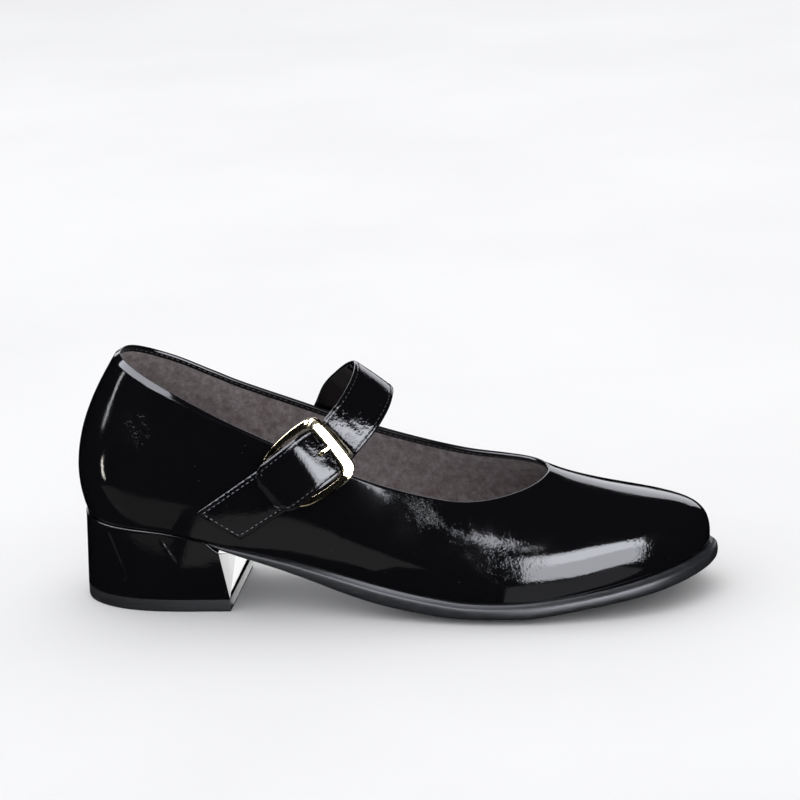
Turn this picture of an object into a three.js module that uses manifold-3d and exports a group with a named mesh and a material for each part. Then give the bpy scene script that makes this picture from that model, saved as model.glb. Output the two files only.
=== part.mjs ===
// A women's Mary Jane shoe for the right foot, size 38: a low-cut upper with an instep strap and a
// side buckle, on a thin sole and a covered block heel. Millimetres, +X to the toe, +Y to the inner
// (medial) side, +Z up. The origin is at the middle of the shoe's box, on the floor.
import * as THREE from "three";
import { mergeVertices } from "three/addons/utils/BufferGeometryUtils.js";
import Module from "manifold-3d";

const wasm = await Module();
wasm.setup();

// Driving dimensions
const lastLength = 250; // heel curve to the tip of the upper
const ballWidth = 80; // across the feather line at the ball
const heelHeight = 37; // floor to the feather line at the back of the heel
const ballHeight = 8.4; // floor to the feather line under the ball
const toeSpring = 10; // how far the feather line climbs from the ball to the toe
const backHeight = 66; // feather line to the topline at the back
const wall = 2; // upper leather and its lining
const gap = 0.3; // between pieces that touch
const heelRim = 0.9; // how far the heel's top edge stands outside the feather line
const soleRim = 1.6; // the same for the sole at the ball
const toeRim = 3; // and at the toe
const topPiece = 5; // thickness of the heel's rubber tip
const breastAt = 59.2; // where the sole meets the heel's front face, along the shoe
const soleTail = 55; // where the sole's thin rear edge starts
const insoleThickness = 3;
const strapWidth = 18.4;
const strapThickness = 1.8;
const tipWidth = 21.8; // the strap's rounded free end
const tipLength = 7;
const tabThickness = 1.2;
const buckleLength = 29.4;
const buckleWidth = 28.8;
const originAlong = 125.7; // the box's middle, in the drawing's own axes
const originAcross = 0.5;

// The height of the feather line, where upper and sole meet, along the shoe. heel is the share of the
// heel height, spring the share of the toe spring, and sole the sole's thickness.
const profile = [
  { along: -2, heel: 1, spring: 0, sole: 2 },
  { along: 10, heel: 0.962, spring: 0, sole: 2 },
  { along: 36, heel: 0.912, spring: 0, sole: 2 },
  { along: 52, heel: 0.785, spring: 0, sole: 0.5 },
  { along: 60, heel: 0.708, spring: 0, sole: 2.9 },
  { along: 85, heel: 0.506, spring: 0, sole: 5.9 },
  { along: 104, heel: 0.34, spring: 0, sole: 7.5 },
  { along: 123, heel: 0.185, spring: 0, sole: 8.7 },
  { along: 143, heel: 0.06, spring: 0, sole: 9 },
  { along: 158, heel: 0, spring: 0, sole: 8.6 },
  { along: 180, heel: 0, spring: 0.02, sole: 8.7 },
  { along: 208, heel: 0, spring: 0.33, sole: 7.8 },
  { along: 230, heel: 0, spring: 0.7, sole: 8 },
  { along: 252, heel: 0, spring: 1.05, sole: 8 },
];

// The upper's ribs, from the back of the heel along the outer side to the toe and back along the inner
// side. along and across place the feather line, topAlong and topAcross the topline, and rise is its
// height above the feather line. lean and slope are the rib's angles at the two ends, from the level,
// and pull and reach say how far it keeps to them. Lengths are percent of the last length (along), of
// the ball width (across) and of the back height (rise, pull and reach).
const ribs = [
  {
    along: 1, across: 0, topAlong: 7.6, topAcross: 0.3,
    rise: 100, lean: 72, pull: 32, slope: 55, reach: 47,
  },
  {
    along: 3.2, across: -20, topAlong: 9.2, topAcross: -15.6,
    rise: 98, lean: 73, pull: 31, slope: 63, reach: 42,
  },
  {
    along: 10, across: -33.1, topAlong: 14.4, topAcross: -26.9,
    rise: 89.6, lean: 76, pull: 28, slope: 77, reach: 36,
  },
  {
    along: 20, across: -35.4, topAlong: 21.6, topAcross: -31.6,
    rise: 81.6, lean: 76, pull: 25, slope: 82, reach: 31,
  },
  {
    along: 31.2, across: -34.8, topAlong: 30.4, topAcross: -33.8,
    rise: 73.4, lean: 74, pull: 22, slope: 83, reach: 27,
  },
  {
    along: 42.4, across: -37.9, topAlong: 39.6, topAcross: -35.3,
    rise: 66.6, lean: 70, pull: 21, slope: 79, reach: 24,
  },
  {
    along: 53.2, across: -44.1, topAlong: 48.4, topAcross: -35.8,
    rise: 61.4, lean: 67, pull: 21, slope: 71, reach: 22,
  },
  {
    along: 64, across: -48.5, topAlong: 56.8, topAcross: -35,
    rise: 58, lean: 67, pull: 21, slope: 60, reach: 23,
  },
  {
    along: 74.8, across: -47.5, topAlong: 64, topAcross: -31.3,
    rise: 56.6, lean: 71, pull: 23, slope: 45, reach: 29,
  },
  {
    along: 85.2, across: -39.4, topAlong: 69.6, topAcross: -23.1,
    rise: 58, lean: 78, pull: 27, slope: 30, reach: 40,
  },
  {
    along: 94, across: -23.8, topAlong: 73, topAcross: -11.9,
    rise: 59.4, lean: 83, pull: 34, slope: 19, reach: 58,
  },
  {
    along: 99.3, across: 3.8, topAlong: 74.5, topAcross: 2.5,
    rise: 60.6, lean: 84, pull: 38, slope: 17, reach: 71,
  },
  {
    along: 96.4, across: 26.3, topAlong: 73.6, topAcross: 15,
    rise: 61, lean: 83, pull: 32, slope: 29, reach: 52,
  },
  {
    along: 88.8, across: 41.3, topAlong: 70.6, topAcross: 25.6,
    rise: 61.8, lean: 79, pull: 26, slope: 43, reach: 38,
  },
  {
    along: 78.8, across: 48.8, topAlong: 64.8, topAcross: 32.5,
    rise: 62.6, lean: 73, pull: 24, slope: 51, reach: 30,
  },
  {
    along: 68.4, across: 49.8, topAlong: 57.6, topAcross: 35.6,
    rise: 63.6, lean: 69, pull: 22, slope: 62, reach: 25,
  },
  {
    along: 58, across: 43.5, topAlong: 48.8, topAcross: 36,
    rise: 66.4, lean: 65, pull: 22, slope: 69, reach: 24,
  },
  {
    along: 46.8, across: 35, topAlong: 39.8, topAcross: 35.3,
    rise: 69.6, lean: 64, pull: 23, slope: 78, reach: 26,
  },
  {
    along: 35.2, across: 31.3, topAlong: 30.4, topAcross: 33.8,
    rise: 74.6, lean: 68, pull: 24, slope: 82, reach: 29,
  },
  {
    along: 22.8, across: 33.5, topAlong: 21.6, topAcross: 31.6,
    rise: 80.6, lean: 74, pull: 26, slope: 81, reach: 32,
  },
  {
    along: 11.2, across: 34.1, topAlong: 14.4, topAcross: 26.9,
    rise: 88, lean: 76, pull: 28, slope: 77, reach: 36,
  },
  {
    along: 3.6, across: 21.3, topAlong: 9.2, topAcross: 15.6,
    rise: 97, lean: 73, pull: 31, slope: 63, reach: 42,
  },
];

// The strap's free part over the instep, from the buckle to the inner side: the middle of its width,
// and the angle at which its width slopes down to the toe.
const archRows = [
  { x: 110, y: -27.6, z: 73.2, tilt: 42 },
  { x: 116.4, y: -22.2, z: 80.2, tilt: 37 },
  { x: 119.8, y: -11.5, z: 85.6, tilt: 37 },
  { x: 119.4, y: 1, z: 88.1, tilt: 37 },
  { x: 115.2, y: 11.5, z: 85.4, tilt: 35 },
  { x: 108.8, y: 20.5, z: 79.2, tilt: 34 },
  { x: 102.2, y: 27.8, z: 71.4, tilt: 34 },
];
// Its stitched end on the inner side, which lies on the upper.
const strapEndRows = [
  { x: 97.6, z: 62, tilt: 34 },
  { x: 90.6, z: 52.6, tilt: 36 },
  { x: 83.4, z: 43.4, tilt: 40 },
];
// The strap through the buckle, in the buckle's own axes: over the bar at the back, under the front.
const threadRows = [
  { u: -20.8, n: 2 },
  { u: -17.5, n: 3 },
  { u: -13.8, n: 3.4 },
  { u: -10, n: 3.45 },
  { u: -5, n: 3.4 },
  { u: -1, n: 3.25 },
  { u: 1.6, n: 2.65 },
  { u: 4, n: 1.6 },
  { u: 6.5, n: 0.25 },
  { u: 9, n: -1.4 },
  { u: 11.4, n: -2.5 },
  { u: 14, n: -3.2 },
];
// The buckle's back bar, which the tab and the prong turn on: its middle along the shoe and above the
// floor, how far it stands off the upper, and its radius. The middle of the buckle's front is a point.
const bar = { x: 86.2, z: 54.6, lift: 2.7, radius: 0.85 };
const buckleFront = { x: 107.1, y: -30.4, z: 70.5 };
const tabLoops = { from: 2, to: 7.4, outer: 2.2 }; // across the buckle, and their outer radius
// The tab that holds the buckle, on the outer side: its corners along the shoe and above the floor.
const tabCorners = { rearLow: [51.5, 42.9], frontLow: [68.5, 31.8], rearTop: [80.4, 62.2], frontTop: [93.2, 47.4] };

const radians = THREE.MathUtils.degToRad;
const mix = THREE.MathUtils.lerp;
const vector = (x, y, z) => new THREE.Vector3(x, y, z);

// A smooth curve through one column of a table, by its along column.
function through(rows, column) {
  const slopes = rows.map((row, i) => {
    const before = rows[Math.max(i - 1, 0)];
    const after = rows[Math.min(i + 1, rows.length - 1)];
    return (after[column] - before[column]) / (after.along - before.along);
  });
  return (along) => {
    const x = THREE.MathUtils.clamp(along, rows[0].along, rows.at(-1).along);
    const i = Math.max(0, rows.findLastIndex((row, k) => row.along <= x && k < rows.length - 1));
    const span = rows[i + 1].along - rows[i].along;
    const t = (x - rows[i].along) / span;
    const ease = t * t * (3 - 2 * t);
    return (
      mix(rows[i][column], rows[i + 1][column], ease) +
      span * t * (1 - t) * ((1 - t) * slopes[i] - t * slopes[i + 1])
    );
  };
}

// A closed smooth curve through equally spaced values, for s from 0 to 1: a periodic cubic spline.
function around(values) {
  const n = values.length;
  const at = (list, i) => list[((i % n) + n) % n];
  const bend = values.map(() => 0);
  for (let pass = 0; pass < 60; pass++)
    for (let i = 0; i < n; i++)
      bend[i] =
        (6 * (at(values, i - 1) - 2 * values[i] + at(values, i + 1)) - at(bend, i - 1) - at(bend, i + 1)) / 4;
  return (s) => {
    const place = (s - Math.floor(s)) * n;
    const i = Math.floor(place);
    const t = place - i;
    const rest = 1 - t;
    return (
      rest * at(values, i) +
      t * at(values, i + 1) +
      ((rest ** 3 - rest) * at(bend, i) + (t ** 3 - t) * at(bend, i + 1)) / 6
    );
  };
}

const heelShare = through(profile, "heel");
const springShare = through(profile, "spring");
const soleThickness = through(profile, "sole");
const featherHeight = (x) => ballHeight + heelShare(x) * (heelHeight - ballHeight) + springShare(x) * toeSpring;
const soleBottom = (x) => Math.max(0, featherHeight(x) - soleThickness(x));

const column = (name, unit) => around(ribs.map((row) => (row[name] * unit) / 100));
const rib = {
  x: column("along", lastLength),
  y: column("across", ballWidth),
  topX: column("topAlong", lastLength),
  topY: column("topAcross", ballWidth),
  rise: column("rise", backHeight),
  lean: column("lean", 100),
  pull: column("pull", backHeight),
  slope: column("slope", 100),
  reach: column("reach", backHeight),
};

// The direction that points out of a closed plan curve at s.
function outward(curveX, curveY, s) {
  const step = 1e-3;
  const dx = curveX(s + step) - curveX(s - step);
  const dy = curveY(s + step) - curveY(s - step);
  return vector(dy, -dx, 0).normalize();
}

// A point of the feather line, moved out by offset.
function feather(s, offset = 0) {
  const point = vector(rib.x(s), rib.y(s), 0).addScaledVector(outward(rib.x, rib.y, s), offset);
  point.z = featherHeight(point.x);
  return point;
}

// The outer surface of the upper: s runs round the shoe, t from the feather line to the topline.
function upperSurface(s, t) {
  const foot = feather(s);
  const top = vector(rib.topX(s), rib.topY(s), featherHeight(rib.topX(s)) + rib.rise(s));
  const lean = radians(rib.lean(s));
  const slope = radians(rib.slope(s));
  const fromFoot = foot.clone().addScaledVector(outward(rib.x, rib.y, s), rib.pull(s) * Math.cos(lean));
  fromFoot.z += rib.pull(s) * Math.sin(lean);
  const fromTop = top.clone().addScaledVector(outward(rib.topX, rib.topY, s), rib.reach(s) * Math.cos(slope));
  fromTop.z -= rib.reach(s) * Math.sin(slope);
  return new THREE.CubicBezierCurve3(foot, fromFoot, fromTop, top).getPoint(t);
}

// The way out of the upper's outer surface at s, t.
function upperNormal(s, t) {
  const step = 1e-3;
  const low = Math.max(t - step, 0);
  const high = Math.min(t + step, 1);
  const along = upperSurface(s + step, t).sub(upperSurface(s - step, t));
  const up = upperSurface(s, high).sub(upperSurface(s, low));
  return along.cross(up).normalize();
}

// The value between low and high where a rising function reaches a target.
function solve(low, high, rising) {
  for (let pass = 0; pass < 30; pass++) {
    const middle = (low + high) / 2;
    if (rising(middle) < 0) low = middle;
    else high = middle;
  }
  return (low + high) / 2;
}

// The point over the side of the upper at x and z, lifted off it. side is -1 outer, 1 inner.
function onSide(side, x, z, lift) {
  const round = (q) => (side < 0 ? q : 1 - q);
  const level = (s) => solve(0, 1, (t) => upperSurface(s, t).z - z);
  const q = solve(0.05, 0.4, (q) => upperSurface(round(q), level(round(q))).x - x);
  const s = round(q);
  const t = level(s);
  return upperSurface(s, t).addScaledVector(upperNormal(s, t), lift);
}

// Triangles of a surface over a grid of columns by rows; point(u, v) has u and v from 0 to 1.
function patch(columns, rows, point, flip = false) {
  const grid = [];
  for (let i = 0; i <= columns; i++) {
    grid.push([]);
    for (let j = 0; j <= rows; j++) grid[i].push(point(i / columns, j / rows));
  }
  const triangles = [];
  for (let i = 0; i < columns; i++)
    for (let j = 0; j < rows; j++) {
      const [a, b, c, d] = [grid[i][j], grid[i + 1][j], grid[i + 1][j + 1], grid[i][j + 1]];
      triangles.push(...(flip ? [a, c, b, a, d, c] : [a, b, c, a, c, d]));
    }
  return triangles;
}

// Joins patches whose edges meet into one closed geometry, without triangles that have no area.
function weld(...patches) {
  const soup = new THREE.BufferGeometry().setFromPoints(patches.flat());
  const merged = mergeVertices(soup, 1e-3);
  const corners = [...merged.index.array];
  const kept = [];
  for (let i = 0; i < corners.length; i += 3) {
    const [a, b, c] = corners.slice(i, i + 3);
    if (a !== b && b !== c && c !== a) kept.push(a, b, c);
  }
  merged.setIndex(kept);
  return merged;
}

function asSolid(geometry) {
  return new wasm.Manifold(
    new wasm.Mesh({
      numProp: 3,
      vertProperties: geometry.getAttribute("position").array,
      triVerts: new Uint32Array(geometry.index.array),
    }),
  );
}

// A three.js geometry class's result as a closed solid.
function primitive(geometry) {
  geometry.deleteAttribute("normal");
  geometry.deleteAttribute("uv");
  return asSolid(mergeVertices(geometry, 1e-4));
}

function asGeometry(solid) {
  const mesh = solid.getMesh();
  return new THREE.BufferGeometry()
    .setAttribute("position", new THREE.BufferAttribute(mesh.vertProperties, 3))
    .setIndex(new THREE.BufferAttribute(mesh.triVerts, 1));
}

// Upper: one hollow wall, open at the topline and underneath.
function upperGeometry() {
  const [roundCount, upCount] = [88, 10];
  const outer = (u, v) => upperSurface(u, v);
  const inner = (u, v) => upperSurface(u, v).addScaledVector(upperNormal(u, v), -wall);
  const edge = (v) => (u, w) => outer(u, v).lerp(inner(u, v), w);
  return weld(
    patch(roundCount, upCount, outer),
    patch(roundCount, upCount, inner, true),
    patch(roundCount, 1, edge(0), true),
    patch(roundCount, 1, edge(1)),
  );
}

// Where each side of the feather line passes a place along the shoe, as s.
const outerAt = (x) => solve(0, 0.5, (s) => rib.x(s) - x);
const innerAt = (x) => 1 - solve(0, 0.5, (q) => rib.x(1 - q) - x);

// A sheet across the shoe between the two sides of an outline; side(sign, q) gives the outline.
function across(side, height, q, w) {
  const point = side(-1, q).clone().lerp(side(1, q), w);
  if (w > 0 && w < 1) point.z = height(point.x);
  return point;
}

// Outsole: from the heel's front face to the toe, with a lip round the edge.
function soleGeometry() {
  const [lengthCount, widthCount] = [40, 4];
  const [outerStart, innerStart] = [outerAt(soleTail), innerAt(soleTail)];
  const rimAt = (x) => mix(mix(-0.4, soleRim, THREE.MathUtils.smoothstep(x, 60, 130)), toeRim,
    THREE.MathUtils.smoothstep(x, 190, 245));
  const share = (q) => Math.sin((q * Math.PI) / 2);
  const place = (sign, q) => mix(sign < 0 ? outerStart : innerStart, 0.5, share(q));
  const level = (offset, height) => (sign, q) => {
    const s = place(sign, q);
    const rim = rimAt(rib.x(s));
    const point = feather(s, rim + offset);
    point.z = height(point.x);
    return point;
  };
  const topHeight = (x) => featherHeight(x) - gap;
  const thick = (x) => featherHeight(x) - gap - soleBottom(x);
  // The sole's underside curves up to its edge, most of all at the ball.
  const smooth = THREE.MathUtils.smoothstep;
  const crown = (x) => 0.2 + 1.7 * smooth(x, 105, 150) * (1 - 0.7 * smooth(x, 185, 235));
  const levels = [
    level(-4.5, topHeight),
    level(-0.8, topHeight),
    level(0, (x) => topHeight(x) - 0.12 * thick(x)),
    level(0.1, (x) => topHeight(x) - 0.5 * thick(x)),
    level(-0.5, (x) => soleBottom(x) + 0.16 * thick(x) + crown(x)),
    level(-2.2, (x) => soleBottom(x) + crown(x)),
  ];
  const ringCount = levels.length - 1;
  const side = (sign) => (q, v) => levels[Math.round(v * ringCount)](sign, q);
  const [topLevel, bottomLevel] = [levels[0], levels[ringCount]];
  const tailChain = (sign) => levels.map((one) => one(sign, 0));
  const fan = (chain, flip) =>
    chain.slice(1, -1).flatMap((point, i) =>
      flip ? [chain[0], chain[i + 2], point] : [chain[0], point, chain[i + 2]]);
  return weld(
    patch(lengthCount, ringCount, side(-1), true),
    patch(lengthCount, ringCount, side(1)),
    patch(lengthCount, widthCount, (q, w) => across(topLevel, topHeight, q, w)),
    patch(lengthCount, widthCount, (q, w) => across(bottomLevel, soleBottom, q, w), true),
    patch(widthCount, 1, (w, v) => across(topLevel, topHeight, 0, w).lerp(across(bottomLevel, soleBottom, 0, w), v)),
    fan(tailChain(-1), true),
    fan(tailChain(1), false),
  );
}

// The heel's outline at a share of its height: 0 at the top piece, 1 at the seat. q runs from the
// back to the front face along one side.
function heelOutline(sign, q, share) {
  const start = sign < 0 ? 0 : 1;
  const end = sign < 0 ? outerAt(breastAt) : innerAt(breastAt);
  const s = mix(start, end, q);
  const top = feather(s, heelRim * (1 - 0.75 * q));
  top.x = mix(top.x, breastAt, THREE.MathUtils.smoothstep(q, 0.9, 1));
  const [narrowing, inwardShift, backFlare, frontFlare] = [0.92, 1, 1.8, 2.6];
  const reachAlong = (top.x - (rib.x(0) - heelRim)) / (breastAt - rib.x(0) + heelRim);
  const bottom = vector(top.x + mix(-backFlare, frontFlare, reachAlong), top.y * narrowing + inwardShift, 0);
  return bottom.lerp(vector(top.x, top.y, 0), share);
}

// The heel's top: under the upper, and cut down in front for the sole's tail.
function seatHeight(x) {
  const [from, to] = [soleTail - 0.6, breastAt];
  const cut = THREE.MathUtils.clamp((x - from) / (to - from), 0, 1);
  return mix(featherHeight(x) - gap, soleBottom(breastAt) - gap, cut);
}

function heelPoint(sign, q, share, lowest) {
  const point = heelOutline(sign, q, share);
  point.z = mix(lowest, seatHeight(point.x), share);
  return point;
}

// Heel block, which the leather covers.
function heelGeometry() {
  const [roundCount, upCount, widthCount] = [20, 4, 6];
  const lowest = topPiece + gap;
  const end = (share) => (sign, q) => heelPoint(sign, q, share, lowest);
  const top = (q, w) => across(end(1), seatHeight, q, w);
  const bottom = (q, w) => across(end(0), () => lowest, q, w);
  const front = (w, v) => end(v)(-1, 1).lerp(end(v)(1, 1), w);
  return weld(
    patch(roundCount, upCount, (q, v) => end(v)(-1, q)),
    patch(roundCount, upCount, (q, v) => end(v)(1, q), true),
    patch(roundCount, widthCount, top),
    patch(roundCount, widthCount, bottom, true),
    patch(widthCount, upCount, front),
  );
}

// Rubber tip under the heel, flat on the floor.
function topPieceGeometry() {
  const [roundCount, widthCount] = [20, 6];
  const inset = 0.985; // the lower edge is a little smaller
  const middle = vector(30, 1, 0);
  const ring = (height, scale) => (sign, q) => {
    const point = heelOutline(sign, q, 0).sub(middle).multiplyScalar(scale).add(middle);
    point.z = height;
    return point;
  };
  const levels = [ring(0, inset), ring(1, 1), ring(topPiece, 1)];
  const [low, high] = [levels[0], levels[2]];
  const side = (sign) => (q, v) => levels[Math.round(v * 2)](sign, q);
  return weld(
    patch(roundCount, 2, side(-1)),
    patch(roundCount, 2, side(1), true),
    patch(roundCount, widthCount, (q, w) => across(high, () => topPiece, q, w)),
    patch(roundCount, widthCount, (q, w) => across(low, () => 0, q, w), true),
    patch(widthCount, 2, (w, v) => side(-1)(1, v).lerp(side(1)(1, v), w)),
  );
}

// Insole: a full-length sock inside the upper.
function insoleGeometry() {
  const [lengthCount, widthCount] = [44, 4];
  const level = (offset, lift) => (sign, q) => {
    const point = feather(sign < 0 ? q / 2 : 1 - q / 2, offset);
    point.z = featherHeight(point.x) + lift;
    return point;
  };
  const inset = -wall - 0.6;
  const [low, high] = [0.1, 0.1 + insoleThickness];
  const [bottom, top] = [level(inset, low), level(inset - 0.2, high)];
  const side = (sign) => (q, v) => (v ? top : bottom)(sign, q);
  return weld(
    patch(lengthCount, 1, side(-1)),
    patch(lengthCount, 1, side(1), true),
    patch(lengthCount, widthCount, (q, w) => across(top, (x) => featherHeight(x) + high, q, w)),
    patch(lengthCount, widthCount, (q, w) => across(bottom, (x) => featherHeight(x) + low, q, w), true),
  );
}

// The buckle's own axes: u along the strap to the front, w across it, n out of the shoe.
const buckleAxes = (() => {
  const back = onSide(-1, bar.x, bar.z, bar.lift);
  const front = vector(buckleFront.x, buckleFront.y, buckleFront.z);
  const u = front.clone().sub(back).normalize();
  const w = vector(0.65, -0.1, -0.752);
  w.addScaledVector(u, -w.dot(u)).normalize();
  const n = vector().crossVectors(w, u).normalize();
  const barAt = bar.radius - buckleLength / 2;
  return { middle: back.addScaledVector(u, -barAt), u, w, n, barAt };
})();

function inBuckle(u, w, n) {
  const { middle } = buckleAxes;
  return middle
    .clone()
    .addScaledVector(buckleAxes.u, u)
    .addScaledVector(buckleAxes.w, w)
    .addScaledVector(buckleAxes.n, n);
}

// The strap's middle surface as one smooth curve for each place across it: v from -1 at the rear edge
// to 1 at the front edge, from the rounded end through the buckle, over the instep, to the inner side.
function strapLine(v) {
  const half = strapWidth / 2;
  const lift = strapThickness / 2 + 3 * gap;
  const points = [
    ...threadRows.map(({ u, n }) => inBuckle(u, v * half, n)),
    ...archRows.map(({ x, y, z, tilt }) =>
      vector(x + v * half * Math.cos(radians(tilt)), y, z - v * half * Math.sin(radians(tilt)))),
    ...strapEndRows.map(({ x, z, tilt }) =>
      onSide(1, x + v * half * Math.cos(radians(tilt)), z - v * half * Math.sin(radians(tilt)), lift)),
  ];
  return new THREE.CatmullRomCurve3(points, false, "centripetal");
}

// Strap: one long band with a rounded free end and a hole for the prong.
function strapGeometry() {
  const [lengthCount, widthCount] = [76, 4];
  const lines = [];
  for (let j = 0; j <= widthCount; j++) lines.push(strapLine((2 * j) / widthCount - 1));
  const rows = lines.map((line) => line.getSpacedPoints(lengthCount));
  const straight = rows[widthCount / 2];
  const ran = straight.map((point, i) => (i ? point.distanceTo(straight[i - 1]) : 0));
  for (let i = 1; i < ran.length; i++) ran[i] += ran[i - 1];
  // The free end is wider, and round like half an ellipse.
  const widthShare = (run) => {
    const narrowed = THREE.MathUtils.smoothstep(run, 3.7 * tipLength, 5.3 * tipLength);
    const wide = mix(tipWidth / strapWidth, 1, narrowed);
    const round = Math.min(run / tipLength, 1);
    return wide * Math.sqrt(Math.max(0, 1 - (1 - round) ** 2));
  };
  const middle = rows.map((row) => row.map((point) => point.clone()));
  for (let i = 0; i <= lengthCount; i++)
    for (let j = 0; j <= widthCount; j++)
      middle[j][i].sub(straight[i]).multiplyScalar(Math.max(widthShare(ran[i]), 0.05)).add(straight[i]);
  const within = THREE.MathUtils.clamp;
  const at = (i, j) => middle[within(j, 0, widthCount)][within(i, 0, lengthCount)];
  const step = (from, to) => to.clone().sub(from);
  const normal = (i, j) =>
    step(at(i - 1, j), at(i + 1, j)).cross(step(at(i, j - 1), at(i, j + 1))).normalize();
  const facing = normal(2, widthCount / 2).dot(buckleAxes.n) > 0 ? 1 : -1;
  const face = (sign) => (u, v) => {
    const [i, j] = [Math.round(u * lengthCount), Math.round(v * widthCount)];
    return at(i, j).clone().addScaledVector(normal(i, j), (sign * facing * strapThickness) / 2);
  };
  const [outer, inner] = [face(1), face(-1)];
  const edge = (fixed) => (u, t) => outer(...fixed(u)).lerp(inner(...fixed(u)), t);
  const band = asSolid(
    weld(
      patch(lengthCount, widthCount, outer, facing < 0),
      patch(lengthCount, widthCount, inner, facing > 0),
      patch(lengthCount, 1, edge((u) => [u, 0]), facing > 0),
      patch(lengthCount, 1, edge((u) => [u, 1]), facing < 0),
      patch(widthCount, 1, edge((v) => [0, v]), facing < 0),
      patch(widthCount, 1, edge((v) => [1, v]), facing > 0),
    ),
  );
  const hole = new THREE.CylinderGeometry(1.7, 1.7, 8, 12).rotateX(Math.PI / 2).scale(2.1, 1, 1);
  return asGeometry(band.subtract(primitive(hole.applyMatrix4(buckleMatrix(5.6, 0, 0)))));
}

// The matrix that puts a shape drawn about the origin, x along the strap and z outwards, in the buckle.
function buckleMatrix(u, w, n) {
  const side = buckleAxes.n.clone().cross(buckleAxes.u);
  return new THREE.Matrix4().makeBasis(buckleAxes.u, side, buckleAxes.n).setPosition(inBuckle(u, w, n));
}

// Buckle frame: a barrel-shaped ring, thick in front and thin and round at the back.
function buckleGeometry() {
  const [roundCount, sectionCount] = [56, 10];
  const [frontBar, arm, armThickness] = [4.2, 2.8, 1.2];
  const backBar = 2 * bar.radius;
  const power = 9; // of the rounded rectangle that the outline is
  const [taper, barrel, bow] = [0.064, 0.128, 0.04]; // front wider than back, sides and front curved out
  const outline = (angle, halfLength, halfWidth, shift) => {
    const [c, s] = [Math.cos(angle), Math.sin(angle)];
    const size = (Math.abs(c) ** power + Math.abs(s) ** power) ** (-1 / power);
    const [along, across] = [c * size, s * size];
    const u = along * (along > 0 ? 1 - bow * across * across : 1) * halfLength + shift;
    return [u, across * halfWidth * (1 + taper * along - barrel * along * along)];
  };
  const innerHalf = (buckleLength - frontBar - backBar) / 2;
  const ring = (u, v) => {
    const angle = u * 2 * Math.PI;
    const outer = outline(angle, buckleLength / 2, buckleWidth / 2, 0);
    const inner = outline(angle, innerHalf, buckleWidth / 2 - arm, (backBar - frontBar) / 2);
    const turn = v * 2 * Math.PI;
    const [c, s] = [Math.cos(turn), Math.sin(turn)];
    const out = 0.5 + 0.5 * Math.sign(c) * Math.abs(c) ** 0.8;
    const half = mix(bar.radius, armThickness, THREE.MathUtils.smoothstep(outer[0], -11, -6));
    return inBuckle(mix(inner[0], outer[0], out), mix(inner[1], outer[1], out), half * s);
  };
  return weld(patch(roundCount, sectionCount, ring, true));
}

// A ring round the buckle's bar, between two places across it.
function barRing(outerRadius, from, to) {
  const innerRadius = bar.radius + 1.5 * gap;
  const height = to - from;
  const profilePoints = [
    [innerRadius, 0], [outerRadius, 0], [outerRadius, height], [innerRadius, height], [innerRadius, 0],
  ].map(([x, y]) => new THREE.Vector2(x, y));
  const ring = new THREE.LatheGeometry(profilePoints, 20).translate(0, from, 0);
  return primitive(ring.applyMatrix4(buckleMatrix(buckleAxes.barAt, 0, 0)));
}

// Prong: a bent pin from the bar, up through the strap's hole, to rest on the front bar.
function prongGeometry() {
  const rows = [
    [-12.4, -0.9], [-7, -1.4], [-3, -1.75], [0, -1.75], [2.2, -1.6], [4, -1.1],
    [5.3, 0.2], [6.3, 1.6], [7.6, 2.35], [9.2, 2.45], [11, 2.25], [12.2, 2.05],
  ];
  const path = new THREE.CatmullRomCurve3(rows.map(([u, n]) => inBuckle(u, 0, n)));
  const [halfWidth, halfThickness, sides] = [1, 0.6, 10];
  const steps = 24;
  const section = (u, v) => {
    const centre = path.getPoint(u);
    const tangent = path.getTangent(u);
    const across = buckleAxes.w;
    const up = vector().crossVectors(tangent, across).normalize();
    const narrow = 1 - 0.45 * THREE.MathUtils.smoothstep(u, 0.8, 1);
    const turn = v * 2 * Math.PI;
    return centre
      .addScaledVector(across, halfWidth * narrow * Math.cos(turn))
      .addScaledVector(up, halfThickness * narrow * Math.sin(turn));
  };
  const cap = (u) => (v, w) => section(u, v).lerp(path.getPoint(u), w);
  const pin = asSolid(
    weld(patch(steps, sides, section, true), patch(sides, 1, cap(0), true), patch(sides, 1, cap(1))),
  );
  return asGeometry(pin.add(barRing(2.1, -1.2, 1.2)));
}

// Tab that holds the buckle: a leather sheet stitched on the upper, folded round the bar.
function tabGeometry() {
  const [longCount, wideCount] = [12, 6];
  const { rearLow, frontLow, rearTop, frontTop } = tabCorners;
  const lift = gap + 0.1;
  const sheet = (height) => (u, v) => {
    const [x, z] = [0, 1].map((k) =>
      mix(mix(rearLow[k], rearTop[k], u), mix(frontLow[k], frontTop[k], u), v));
    return onSide(-1, x, z, height);
  };
  const [inner, outer] = [sheet(lift), sheet(lift + tabThickness)];
  const edge = (fixed) => (u, t) => outer(...fixed(u)).lerp(inner(...fixed(u)), t);
  const leather = asSolid(
    weld(
      patch(longCount, wideCount, outer, true),
      patch(longCount, wideCount, inner),
      patch(longCount, 1, edge((u) => [u, 0])),
      patch(longCount, 1, edge((u) => [u, 1]), true),
      patch(wideCount, 1, edge((v) => [0, v]), true),
      patch(wideCount, 1, edge((v) => [1, v])),
    ),
  );
  const { from, to, outer: radius } = tabLoops;
  const slot = primitive(new THREE.BoxGeometry(6, 2 * (from - gap), 8).applyMatrix4(buckleMatrix(buckleAxes.barAt, 0, 0)));
  return asGeometry(leather.subtract(slot).add(barRing(radius, -to, -from)).add(barRing(radius, from, to)));
}

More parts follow.
